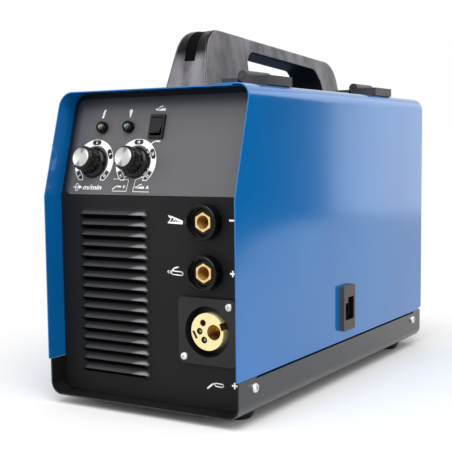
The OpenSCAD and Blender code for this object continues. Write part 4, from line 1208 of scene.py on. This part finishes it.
    def piece(self, name: str, finish: Finish, body: Body = Body.CASE, slot: Slot = Slot.OVERLAY) -> Any:
        """Gives the print its film thickness and makes it a piece.

        Args:
            name: the object's name.
            finish: its ink.
            body: the CAD body that it moves with.
            slot: the record's material slot; not used, as the piece doesn't read it.

        Returns:
            The object.
        """
        bm = self.shape.bm
        bmesh.ops.recalc_face_normals(bm, faces=bm.faces)
        away = [face for face in bm.faces if face.normal.dot(self.plane.out) < 0.0]
        bmesh.ops.reverse_faces(bm, faces=away)
        top = bmesh.ops.extrude_face_region(bm, geom=list(bm.faces))
        raised = [v for v in top["geom"] if isinstance(v, bmesh.types.BMVert)]
        bmesh.ops.translate(bm, vec=self.plane.out * self.FILM * MM, verts=raised)
        return self.shape.piece(name, finish, body, slot, angle=20.0)


@dataclass(frozen=True)
class Sign:
    """A small picture of what a socket or a switch takes, centred on a point and drawn 18 mm wide."""

    x: float
    y: float
    size: float = 18.0
    solid: bool = False

    @property
    def part(self) -> float:
        """The picture's scale."""
        return self.size / 18.0

    def spot(self, x: float, y: float) -> Flat:
        """Where a point of the drawing is printed."""
        return (self.x + x * self.part, self.y + y * self.part)

    def spots(self, *points: Flat) -> list[Flat]:
        """Where points of the drawing are printed."""
        return [self.spot(*point) for point in points]


class TorchSign(Sign):
    """A bent neck that runs into a long loop, or into a solid bar where it is small."""

    def draw(self, ink: Printing) -> None:
        """Prints the picture.

        Args:
            ink: the print that takes it.
        """
        part = self.part
        ink.line(self.spots((-8.8, -4.0), (-3.0, 0.6), (-0.4, 1.2)), 1.7 * part)
        if self.solid:
            ink.pill(*self.spot(4.2, 0.9), 9.6 * part, 2.8 * part, -3.0)
        else:
            ink.loop(*self.spot(4.2, 0.2), 9.4 * part, 3.0 * part, part, -3.0)


class HolderSign(Sign):
    """An electrode holder: a blunt head, a long loop or bar, and a raised lever."""

    def draw(self, ink: Printing) -> None:
        """Prints the picture.

        Args:
            ink: the print that takes it.
        """
        part = self.part
        ink.pill(*self.spot(-6.6, -0.4), 4.8 * part, 3.0 * part, -4.0)
        ink.line(self.spots((-4.2, 0.2), (-1.2, 3.4), (3.4, 4.6)), 1.5 * part)
        if self.solid:
            ink.fill(self.spots((-5.4, -2.2), (8.6, -2.6), (8.8, 1.4), (1.0, 0.8)))
        else:
            ink.loop(*self.spot(2.2, -1.2), 13.0 * part, 3.4 * part, part, -3.0)


class ClampSign(Sign):
    """Two crossing jaws with a spring between them."""

    def draw(self, ink: Printing) -> None:
        """Prints the picture.

        Args:
            ink: the print that takes it.
        """
        ink.fill(self.spots((-8.8, -3.9), (8.8, -4.6), (9.0, -2.2), (-8.6, -2.5)))
        ink.fill(self.spots((-8.4, 4.2), (-7.2, 2.6), (9.0, -3.2), (8.9, -1.0), (0.4, 1.9)))
        ink.line(self.spots((-7.6, 3.2), (-4.6, 0.2), (-7.8, -2.8)), 1.0)
        ink.line(self.spots((-3.4, -3.0), (-1.2, 0.6), (1.0, -3.0)), 0.7)
        ink.line(self.spots((1.2, 0.4), (3.4, -3.0)), 0.7)


# ---------------------------------------------------------------- the machine

@dataclass(frozen=True)
class Case:
    """The folded case: tray, panels, fixed cover and door, with feet and screws."""

    sheet: Edge = Edge(0.35, steps=2, shade=25.0)
    fold: Edge = Edge(0.5, steps=2, shade=25.0)
    foot: Edge = Edge(1.2, turn=40.0, shade=32.0, flat=False)

    def build(self) -> None:
        """Softens the sheet edges and dresses the case."""
        mould("main_cover", Tint.BLUE, self.sheet, Body.CASE, Slot.BLUE_SHEET, "painted")
        mould("side_door", Tint.BLUE, self.sheet, Body.DOOR, Slot.BLUE_SHEET, "painted")
        mould("base_tray", Tint.TRAY, self.fold, Body.CASE, Slot.TRAY, "painted")
        dress(Tint.FRONT, "front_panel")
        dress(Tint.BLACK, "rear_panel", "rear_flanges")
        low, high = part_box("front_overlay")
        # the second shade is the painted shade along the foil's rim
        dress(Overlay("overlay_foil", rgb(90, 89, 92), rgb(42, 42, 44), tuple(low), tuple(high)),
              "front_overlay")
        dress(Tint.ZINC, "ear_screws", "foot_screws", "handle_screws")
        mould("rubber_feet", Tint.RUBBER, self.foot, Body.CASE, Slot.RUBBER)


@dataclass(frozen=True)
class DialFace:
    """One knob's printed scale: a white band with windows and numbers.

    Angles are clockwise from straight up, in degrees. The solid part of the band ends before the
    spread of the numbers does, and the second numbers stand on a ring of their own.
    """

    x: float
    y: float
    numbers: Sequence[str]
    second: Sequence[str] = ()
    second_angles: Sequence[float] = (-130.0, 50.0, 130.0)
    inner: float = 18.2
    outer: float = 24.8
    spread: float = 130.0
    solid: float = 114.0

    def spot(self, angle: float, radius: float) -> Flat:
        """A point at an angle and radius."""
        turn = math.radians(angle)
        return (self.x + radius * math.sin(turn), self.y + radius * math.cos(turn))

    def print_on(self, white: Printing, dark: Printing) -> None:
        """Prints the band, its windows and its numbers.

        Args:
            white: the print of the band and the numbers.
            dark: the print of the windows.
        """
        middle, width = (self.inner + self.outer) / 2.0, self.outer - self.inner
        white.band((self.x, self.y), self.inner, self.outer, -self.solid, self.solid)
        last = len(self.numbers) - 1
        for index, number in enumerate(self.numbers):
            angle = self.spread * (2.0 * index / last - 1.0)
            x, y = self.spot(angle, middle)
            length, rim = (9.0, 2.6) if index in (0, last) else (11.4, 1.4)
            dark.pill(x, y, length, width - rim, -angle, lift=0.06)
            white.words(number, x, y, 2.9, turn=-angle, lift=0.13)
        for side in (-1.0, 1.0):
            self.end_window(white, side)
        if self.second:
            self.second_ring(white, dark, self.inner - 2.0)

    def second_ring(self, white: Printing, dark: Printing, reach: float) -> None:
        """Prints the second numbers, each in a window with a rim.

        Args:
            white: the print of the rims and the numbers.
            dark: the print of the windows.
            reach: the ring's radius.
        """
        dark.band((self.x, self.y), reach - 1.0, reach + 1.4, 66.0, 112.0)
        for number, angle in zip(self.second, self.second_angles):
            x, y = self.spot(angle, reach)
            white.pill(x, y, 10.8, 5.2, -angle, lift=0.04)
            dark.pill(x, y, 9.8, 4.2, -angle, lift=0.10)
            white.words(number, x, y, 2.6, turn=-angle, lift=0.17)

    def end_window(self, white: Printing, side: float) -> None:
        """The outline that closes one end of the band, with a pointed tip.

        Args:
            white: the print that takes it.
            side: 1 at the clockwise end and -1 at the other.
        """
        angles = [self.solid + step * 5.0 for step in range(6)]
        inner = [self.spot(side * angle, self.inner + 0.4) for angle in angles]
        outer = [self.spot(side * angle, self.outer - 0.4) for angle in reversed(angles)]
        tip = self.spot(side * (angles[-1] + 9.0), (self.inner + self.outer) / 2.0)
        white.line(inner + [tip] + outer, 0.8)


@dataclass(frozen=True)
class ControlFace:
    """The print, knobs, lamps and mode switch of the sloped face.

    Each pointer mark is its height over the face, and where it starts and ends from the knob's axis.
    """

    speed: Flat = (-75.6, 34.7)
    voltage: Flat = (-21.6, 34.7)
    lamps: Flat = (-70.0, -36.3)
    lamp_y: float = 71.8
    foil: float = 0.62
    cap_low: float = 21.0
    cap: tuple[Flat, ...] = ((0, 0), (9.9, 0), (10.0, 0.2), (10.0, 2.0), (9.7, 2.5), (9.1, 2.8), (0, 2.8))
    pointer: float = 220.0
    pointer_width: float = 1.1
    pointer_marks: tuple[Point, Point] = ((21.02, 10.1, 11.4), (5.1, 13.9, 15.0))
    # the direction of the caps' painted reflection, in degrees
    reflection_bow: float = 78.0
    knob_edge: Edge = Edge(0.25, steps=2, turn=40.0, shade=40.0, flat=False)
    lamp_edge: Edge = Edge(0.2, steps=2, turn=40.0, shade=32.0, flat=False)
    frame_edge: Edge = Edge(0.5, shade=30.0)
    rocker_edge: Edge = Edge(0.4, turn=35.0, shade=30.0)

    def build(self) -> None:
        """Prints the face and dresses what stands on it."""
        white, dark = Printing(SLOPE, self.foil), Printing(SLOPE, self.foil)
        DialFace(*self.speed, numbers=("2", "4", "6", "8", "10")).print_on(white, dark)
        DialFace(*self.voltage, numbers=("14", "16", "18", "20", "22"),
                 second=("40", "90", "150")).print_on(white, dark)
        self.legends(white)
        white.piece("control_face_print", Tint.PRINT)
        dark.piece("control_face_windows", Tint.DARK_PRINT)
        self.knob("speed_knob", Body.SPEED_DIAL, self.speed)
        self.knob("voltage_knob", Body.VOLTAGE_DIAL, self.voltage)
        self.indicators()
        mould("mode_switch_frame", Tint.SWITCH, self.frame_edge)
        mould("mode_rocker", Tint.SWITCH, self.rocker_edge, Body.MODE_KEY)
        dress(Tint.FEED, "potentiometers")
        dress(Tint.BOARD, "control_board")

    def legends(self, ink: Printing) -> None:
        """Prints the generic signs and units around the dials.

        Args:
            ink: the print that takes them.
        """
        # wire drawn through a roll, then metres a minute
        ink.bar((-97.6, 8.6), (-89.0, 8.6), 0.8).fill([(-90.6, 6.5), (-85.8, 8.6), (-90.6, 10.7)])
        ink.loop(-93.2, 8.6, 7.6, 3.4, 0.65, 90.0)
        ink.words("m/min", -72.9, 8.7, 5.3, 24.4, slant=0.25, weight=0.02)
        # frame of the voltage sign, with a torch
        ink.line([(-46.6, 17.4), (-42.0, 17.7), (-27.4, 16.7), (-28.6, 4.9), (-46.3, 4.9)], 0.6)
        TorchSign(-40.8, 9.2, 11.0, solid=True).draw(ink)
        ink.words("V", -31.6, 9.4, 3.4, 3.6, slant=0.2, weight=0.05)
        # frame of the current sign, with an electrode holder
        ink.line([(-6.4, 21.1), (-9.0, 20.2), (-19.0, 16.7), (-20.3, 4.7), (-0.4, 4.5)], 0.6)
        HolderSign(-12.6, 9.4, 11.4, solid=True).draw(ink)
        ink.words("A", -3.3, 9.3, 3.4, 3.8, slant=0.2, weight=0.05)
        # heat and power signs over the lamps
        ink.fill([(-72.6, 91.0), (-69.8, 92.0), (-71.6, 84.4), (-73.6, 83.8)]).disc(-72.9, 83.8, 1.5)
        ink.fill([(-73.9, 88.2), (-73.4, 86.6), (-71.4, 87.6), (-71.6, 89.0)])
        ink.disc(-37.4, 89.2, 2.0).fill([(-39.2, 88.4), (-35.6, 88.4), (-37.1, 82.6), (-38.2, 82.6)])
        # what each place of the mode switch is for
        HolderSign(-0.6, 90.2, 12.6, solid=True).draw(ink)
        TorchSign(-1.0, 56.2, 11.6, solid=True).draw(ink)

    def knob(self, node: str, body: Body, place: Flat) -> None:
        """Softens a knob, turns its cap bright and marks its pointer.

        Args:
            node: the knob's node.
            body: the dial that it rides on.
            place: its place on the sloped face.
        """
        mould(node, Tint.KNOB, self.knob_edge, body)
        seat, tilt = SLOPE.matrix(*place, self.cap_low), math.radians(self.reflection_bow)
        reflection_bow = SLOPE.across * math.cos(tilt) + SLOPE.up * math.sin(tilt)
        metal = TurnedMetal(node + "_cap_metal", rgb(206, 206, 204), rgb(158, 158, 157),
                            tuple(seat.translation), tuple(SLOPE.out), tuple(reflection_bow))
        spun(self.cap, seat, 72).piece(node + "_cap_turned", metal, body, Slot.CAP_SILVER,
                                       (node + "_cap",), 30.0)
        high, low = (self.mark(place, *sizes) for sizes in self.pointer_marks)
        high.shape.add(low.shape)
        high.piece(node + "_pointer", Tint.PRINT, body, Slot.CAP_SILVER)

    def mark(self, place: Flat, out: float, start: float, end: float) -> Printing:
        """Prints one mark of a knob's pointer.

        Args:
            place: the knob's place on the sloped face.
            out: the mark's height over the face.
            start: where it starts, from the knob's axis.
            end: where it ends.

        Returns:
            The print.
        """
        turn = math.radians(self.pointer)
        ends = [(place[0] + far * math.cos(turn), place[1] + far * math.sin(turn)) for far in (start, end)]
        return Printing(SLOPE, out).bar(*ends, self.pointer_width, rounded=False)

    def indicators(self) -> None:
        """Two tinted lenses in dark holders."""
        mould("lamp_holders", Tint.SOCKET, self.lamp_edge, Body.CASE, Slot.GLOSS_BLACK)
        centres = tuple(tuple(SLOPE.matrix(x, self.lamp_y).translation) for x in self.lamps)
        dress(LampGlass("lamp_glass", rgb(54, 68, 14), rgb(6, 56, 40), centres, tuple(SLOPE.out)),
              "lamp_lenses")


@dataclass(frozen=True)
class CableSockets:
    """The two current sockets, the torch socket and the signs beside them."""

    x: float = 68.3
    negative_z: float = 185.0
    positive_z: float = 136.0
    torch_z: float = 78.3
    contact_radius: float = 6.5
    contact_bore: float = 6.7
    torch_radius: float = 18.2
    torch_bore: float = 7.7
    torch_bore_dx: float = 7.5
    pins: tuple[Flat, Flat] = ((-8.7, 0.0), (-3.6, -8.3))
    sleeve: tuple[Flat, ...] = ((1.7, 1.6), (2.8, 1.6), (3.24, 1.2), (3.24, -4.9), (1.7, -4.9))
    pluses: tuple[Flat, Flat] = ((96.6, 136.2), (97.4, 28.0))
    plus_half: float = 3.1
    socket_edge: Edge = Edge(0.5)
    contact_edge: Edge = Edge(0.35, steps=2)
    flange_edge: Edge = Edge(0.7)

    def build(self) -> None:
        """Dresses the sockets and prints their signs."""
        for node in ("negative_socket", "positive_socket"):
            mould(node, Tint.SOCKET, self.socket_edge, Body.CASE, Slot.GLOSS_BLACK)
        contacts = tuple(tuple(at(self.x, 0, z)) for z in (self.negative_z, self.positive_z))
        # the bore colour is painted shade; the lit flank and the glint are painted light and reflections
        brass = BoredBrass("contact_brass", rgb(250, 214, 150), rgb(146, 96, 38), lit_flank=rgb(190, 140, 72),
                           centres=contacts, radius=self.contact_radius,
                           face=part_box("socket_contacts")[0][1], bores=contacts,
                           bore_radius=self.contact_bore, glint=rgb(255, 214, 112), towards=(0.6, 0.0, 0.8))
        mould("socket_contacts", brass, self.contact_edge, Body.CASE, Slot.BRASS, "turned")
        self.torch_socket()
        self.signs()

    def torch_socket(self) -> None:
        """Flange, bright turned brass, pins in dark sleeves, and screws."""
        mould("torch_flange", Tint.FLANGE, self.flange_edge)
        middle, bore = (tuple(at(self.x + dx, 0, self.torch_z)) for dx in (0.0, self.torch_bore_dx))
        # the bore colour is painted shade; the lit flank and the glint are painted light and reflections
        brass = BoredBrass("torch_brass_metal", rgb(252, 238, 176), rgb(126, 90, 40),
                           lit_flank=rgb(255, 246, 196), centres=(middle,), radius=self.torch_radius,
                           face=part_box("torch_brass")[0][1], bores=(bore,), bore_radius=self.torch_bore,
                           glint=rgb(255, 206, 104), towards=(0.9, 0.0, -0.44), rough=0.2)
        mould("torch_brass", brass, self.socket_edge, Body.CASE, Slot.BRASS, "turned")
        dress(Tint.TIP, "torch_pins")
        sleeves = Shape()
        for dx, dz in self.pins:
            sleeves.add(spun(self.sleeve, FRONT.matrix(self.x + dx, self.torch_z + dz), 24))
        sleeves.piece("torch_pin_sleeves", Tint.SOCKET, Body.CASE, Slot.GLOSS_BLACK)
        dress(Tint.ZINC, "panel_screws")

    def signs(self) -> None:
        """Polarity marks and pictures of what each socket takes."""
        ink = Printing(FRONT, 0.02)
        ink.bar((93.2, 187.0), (99.8, 187.0), 1.9, rounded=False)
        half = self.plus_half
        for x, z in self.pluses:
            ink.bar((x - half, z), (x + half, z), 1.8, rounded=False)
            ink.bar((x, z - half), (x, z + half), 1.8, rounded=False)
        ClampSign(31.4, 186.2).draw(ink)
        HolderSign(30.6, 134.6, 18.6).draw(ink)
        TorchSign(75.6, 26.4, 18.4).draw(ink)
        ink.piece("socket_signs", Tint.PRINT)


@dataclass(frozen=True)
class CarryHandle:
    """The moulded carry handle with its soft strip, cheeks and screws.

    Heights and half widths are in metres in the shared frame.
    """

    foot_top: float = 0.3265
    middle: float = -0.0009
    inner_half: float = 0.0125
    shell_edge: Edge = Edge(2.2, steps=4, turn=45.0, shade=30.0)
    cheek_edge: Edge = Edge(1.0, turn=45.0, shade=30.0)

    def outer(self, edge: Any) -> bool:
        """Finds the grip's long outer edges above its foot.

        Args:
            edge: an edge of the grip.

        Returns:
            Whether it is one of them.
        """
        low, high = sorted(vert.co.z for vert in edge.verts)
        aside = min(abs(vert.co.x - self.middle) for vert in edge.verts)
        return low > self.foot_top - 2.0 * MM and high > self.foot_top and aside > self.inner_half

    @staticmethod
    def takes_shade(face: Any) -> bool:
        """Whether a face of the grip looks down, or forward from the rear post, and so takes the painted
        shade.
        """
        return face.normal.z < -0.4 or (face.normal.y < -0.5 and face.center.y > 0.0)

    def build(self) -> None:
        """Rounds the handle's long edges and dresses it."""
        low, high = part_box("handle_strip")
        # a finish with a painted shade round the nose, in its dark colour
        wear_and_shade = GripPlastic("grip_plastic", rgb(90, 87, 89), rgb(142, 138, 140), rough=0.3, flow=34.0,
                           streak=(1.6, 1.0, 0.5), depth=0.00006, shine=0.22, dark=rgb(4, 4, 5),
                           middle=(low[0] + high[0]) / 2.0,
                           start=(low[2] - 1.0 * MM, low[2] + 12.0 * MM),
                           end=(low[1] + 20.0 * MM, low[1] + 60.0 * MM))
        grip = mould("handle_shell", wear_and_shade, self.shell_edge, Body.CASE, Slot.HANDLE_GREY, pick=self.outer)
        # painted shade on the faces that look down, and on the rear post's inner face
        repaint(grip, Tint.HANDLE_SHADE, self.takes_shade)
        mould("handle_cheeks", Tint.HANDLE, self.cheek_edge, Body.CASE, Slot.HANDLE_GREY)
        dress(Tint.STRIP, "handle_strip")


@dataclass(frozen=True)
class DoorHardware:
    """Hinges and latch of the side door."""

    rim: float = 2.0
    front: float = 0.5
    hinge_edge: Edge = Edge(0.8)
    latch_edge: Edge = Edge(0.6)
    slider_edge: Edge = Edge(0.5)

    def build(self) -> None:
        """Softens and dresses the hinges and the latch."""
        mould("hinge_fixed_leaves", Tint.HINGE, self.hinge_edge)
        mould("hinge_door_leaves", Tint.HINGE, self.hinge_edge, Body.DOOR)
        dress(Tint.PIN, "hinge_pins")
        latch = mould("latch_body", Tint.LATCH, self.latch_edge, Body.DOOR, Slot.LATCH_GREY)
        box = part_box("latch_body")
        # painted shade inside the latch's pocket
        repaint(latch, Tint.POCKET_SHADE, lambda face: self.in_pocket(face.center, *box))
        mould("latch_slider", Tint.SWITCH, self.slider_edge, Body.LATCH)

    def in_pocket(self, spot: Vector, low: Sequence[float], high: Sequence[float]) -> bool:
        """Whether a place lies within the latch's rim and behind its front."""
        rim = self.rim * MM
        within = all(low[i] + rim < spot[i] < high[i] - rim for i in (1, 2))
        return within and spot[0] < high[0] - self.front * MM


@dataclass(frozen=True)
class WireBay:
    """The wire feeder and spool behind the side door."""

    spool_y: float = 333.5
    spool_z: float = 172.0
    winding: Flat = (45.31, 91.29)
    wire: float = 0.8
    core: float = 52.02
    ridge: tuple[Flat, ...] = ((0.1, 90.55), (0.5, 90.95), (0.9, 90.55))
    plate_edge: Edge = Edge(0.8, steps=2)
    lever_edge: Edge = Edge(0.8, turn=40.0, shade=32.0, flat=False)

    def build(self) -> None:
        """Dresses the feeder and winds the spool."""
        dress(Tint.GALVANISED, "divider_panel", "spool_spindle")
        mould("feed_plate", Tint.CAST, self.plate_edge, Body.CASE, Slot.CAST_ALLOY, "cast")
        dress(Tint.FEED, "feed_motor", "pressure_arm")
        dress(Tint.GROUND, "drive_roll", "pressure_roll")
        mould("tension_lever", Tint.KNOB, self.lever_edge, Body.LEVER)
        dress(Tint.FEED, "spool_hub", "wire_spool", "spool_nut")
        self.wound_wire()

    def wound_wire(self) -> None:
        """The outer layer of wire, one ridge per turn, each given as shares of the pitch and radii."""
        start, end = self.winding
        turns = int((end - start) / self.wire)
        pitch = (end - start) / turns
        ridges = [(radius, (turn + share) * pitch) for turn in range(turns) for share, radius in self.ridge]
        profile = [(self.core, 0.0)] + ridges + [(self.core, end - start)]
        seat = Matrix.Translation(at(start, self.spool_y, self.spool_z))
        axis = seat @ Matrix.Rotation(math.pi / 2, 4, "Y")
        spun(profile, axis, 96).piece("wound_wire", Tint.COPPER, Body.SPOOL, Slot.COPPER_WIRE,
                                      ("wire_winding",), 60.0)


@dataclass(frozen=True)
class PowerBay:
    """Power electronics behind the divider."""

    def build(self) -> None:
        """Dresses the sinks, boards and magnetics."""
        dress(Tint.FINS, "heat_sinks")
        dress(Tint.BOARD, "power_board")
        dress(Tint.SLEEVE, "capacitors")
        dress(Tint.LACQUER, "transformer")


@dataclass(frozen=True)
class RearFittings:
    """Fan, grille, gas fitting, mains switch and cable gland."""

    frame_edge: Edge = Edge(0.6)
    rocker_edge: Edge = Edge(0.4, turn=35.0, shade=30.0)

    def build(self) -> None:
        """Dresses the rear fittings."""
        dress(Tint.FEED, "fan_frame", "fan_rotor")
        dress(Tint.ZINC, "fan_grille")
        dress(Tint.VALVE, "gas_valve", "gas_inlet")
        mould("mains_switch_frame", Tint.SWITCH, self.frame_edge)
        mould("mains_rocker", Tint.RED, self.rocker_edge, Body.MAINS_KEY, Slot.RED_KEY)
        dress(Tint.SWITCH, "cable_gland")


@dataclass(frozen=True)
class Studio:
    """A pale floor, soft light and the camera, in metres and degrees.

    The flag is a dark card, part of an upright cylinder about the origin, that stands out of view
    beside the door. Its foot lies on the floor and tapers off between two angles.
    """

    place: Point = (0.57013, -1.00212, 0.26579)
    yaw: float = 31.37
    pitch: float = 5.48
    roll: float = -0.64
    lens: float = 77.69
    shift: Flat = (-0.00522, 0.0331)
    ambient: float = 0.55
    floor_radius: float = 3.0
    fade: Flat = (0.2, 0.5)
    flag_away: float = 2.55
    flag_height: float = 1.6
    flag_low: float = 0.003
    flag_span: Flat = (10.0, 62.0)
    flag_steps: int = 52
    foot_away: float = 1.05
    foot_taper: Flat = (47.0, 60.0)

    def build(self) -> None:
        """Sets the stage."""
        self.world()
        self.floor()
        self.flag()
        self.lamps()
        self.camera()
        bpy.context.scene.view_settings.view_transform = "Standard"

    def world(self) -> None:
        """White to the eye and in reflections, softer as light."""
        graph = Graph("studio", bpy.data.worlds)
        bpy.context.scene.world = graph.material
        strength = graph.sig("ShaderNodeMix", {"data_type": "FLOAT"},
                             {0: self.shown(graph), 2: self.ambient, 3: 1.0})
        back = graph.sig("ShaderNodeBackground", None, {0: WHITE, 1: strength})
        graph.node("ShaderNodeOutputWorld", None, {0: back})

    @staticmethod
    def shown(graph: Graph) -> Sig:
        """Tells the rays that see the background from those that only light.

        Args:
            graph: the tree that asks.

        Returns:
            1 where the background is seen, in a mirror or through glass too, and 0 elsewhere.
        """
        path = graph.node("ShaderNodeLightPath")
        camera, glossy, through = (Sig(graph, path.outputs[key]) for key in
                                   ("Is Camera Ray", "Is Glossy Ray", "Is Transmission Ray"))
        return camera.math("MAXIMUM", glossy).math("MAXIMUM", through)

    def floor(self) -> None:
        """A round white floor that fades into the background."""
        bm = bmesh.new()
        bmesh.ops.create_circle(bm, cap_ends=True, radius=self.floor_radius, segments=96)
        graph = Graph("floor_white")
        x, y, _ = graph.axes()
        far = (x * x + y * y).math("SQRT").ramp(*self.fade)
        plain = graph.sig("ShaderNodeBsdfDiffuse", None, {"Color": (0.96, 0.96, 0.96, 1.0)})
        white = graph.sig("ShaderNodeEmission", None, {"Color": WHITE, "Strength": 1.0})
        both = graph.sig("ShaderNodeMixShader", None, {0: far * self.shown(graph), 1: plain, 2: white})
        graph.node("ShaderNodeOutputMaterial", None, {0: both})
        show("floor", bm, graph.material)

    def flag(self) -> None:
        """A dark card with a foot, so that the front of the door side mirrors a deep tone."""
        start, end = (math.radians(angle) for angle in self.flag_span)
        bm = bmesh.new()
        foot, low, high = (bm.verts.new((away * math.cos(start), away * math.sin(start), height))
                           for away, height in ((self.foot_away, self.flag_low),
                                                (self.flag_away, self.flag_low),
                                                (self.flag_away, self.flag_low + self.flag_height)))
        edges = [bm.edges.new(pair) for pair in ((foot, low), (low, high))]
        sweep(bm, [foot, low, high] + edges, end - start, self.flag_steps)
        for vert in bm.verts:
            if vert.co.xy.length < self.flag_away - 0.1:
                vert.co.xy = vert.co.xy.normalized() * self.foot_edge(vert.co)
        graph = Graph("flag_black")
        weave = graph.mix(graph.noise(300.0), BLACK, (0.002, 0.002, 0.002, 1.0))
        graph.finish(weave, 1.0, Specular_IOR_Level=0.0)
        card = show("flag", bm, graph.material)
        card.visible_camera = False

    def foot_edge(self, spot: Vector) -> float:
        """Finds where the flag's foot begins.

        Args:
            spot: a place that gives the direction.

        Returns:
            The foot's distance from the origin there.
        """
        start, end = self.foot_taper
        angle = math.degrees(math.atan2(spot.y, spot.x))
        share = min(1.0, max(0.0, (angle - start) / (end - start)))
        return self.foot_away + (self.flag_away - 0.05 - self.foot_away) * share

    @staticmethod
    def lamp(name: str, place: Point, aim: Point, size: Flat, power: float) -> None:
        """Hangs a soft rectangular lamp.

        Args:
            name: the lamp's name.
            place: where it hangs.
            aim: the point that it looks at.
            size: its width and height.
            power: its power in watts.
        """
        light = bpy.data.lights.new(name, "AREA")
        light.shape, light.size, light.size_y, light.energy = "RECTANGLE", size[0], size[1], power
        holder = bpy.data.objects.new(name, light)
        holder.location = place
        holder.rotation_euler = (Vector(aim) - Vector(place)).to_track_quat("-Z", "Y").to_euler()
        bpy.context.scene.collection.objects.link(holder)

    def lamps(self) -> None:
        """A broad light from above, one behind the door side, a front fill and a key on the door side."""
        self.lamp("top", (0.5, -1.1, 1.8), (0.0, 0.0, 0.15), (1.8, 1.6), 33.0)
        self.lamp("behind", (0.95, 2.5, 0.7), (0.1, 0.1, 0.15), (1.3, 1.9), 5.0)
        self.lamp("front", (-2.4, -1.5, 0.7), (0.0, 0.0, 0.2), (1.2, 1.2), 7.0)
        self.lamp("side", (2.2, -0.2, 0.9), (0.1, 0.0, 0.15), (1.2, 1.0), 9.0)

    def camera(self) -> None:
        """The camera, turned by yaw, pitch and roll."""
        yaw, pitch, roll = (math.radians(v) for v in (self.yaw, self.pitch, self.roll))
        flat = math.cos(pitch)
        ahead = Vector((-math.sin(yaw) * flat, math.cos(yaw) * flat, -math.sin(pitch)))
        level = Vector((math.cos(yaw), math.sin(yaw), 0.0))
        upright = level.cross(ahead)
        right = math.cos(roll) * level + math.sin(roll) * upright
        up = math.cos(roll) * upright - math.sin(roll) * level
        data = bpy.data.cameras.new("camera")
        data.lens, data.sensor_width = self.lens, 36.0
        data.shift_x, data.shift_y = self.shift
        data.clip_start, data.clip_end = 0.01, 50.0
        holder = bpy.data.objects.new("camera", data)
        turn = Matrix((right, up, -ahead)).transposed().to_4x4()
        holder.matrix_world = Matrix.Translation(Vector(self.place)) @ turn
        bpy.context.scene.collection.objects.link(holder)
        bpy.context.scene.camera = holder


def main() -> None:
    """Builds the machine's looks piece by piece."""
    logging.basicConfig(level=logging.INFO, format="%(message)s")
    for part in (Studio(), Case(), ControlFace(), CableSockets(), CarryHandle(), DoorHardware(), WireBay(),
                 PowerBay(), RearFittings()):
        part.build()
        LOG.info("finished %s", type(part).__name__)


if __name__ == "__main__":
    main()
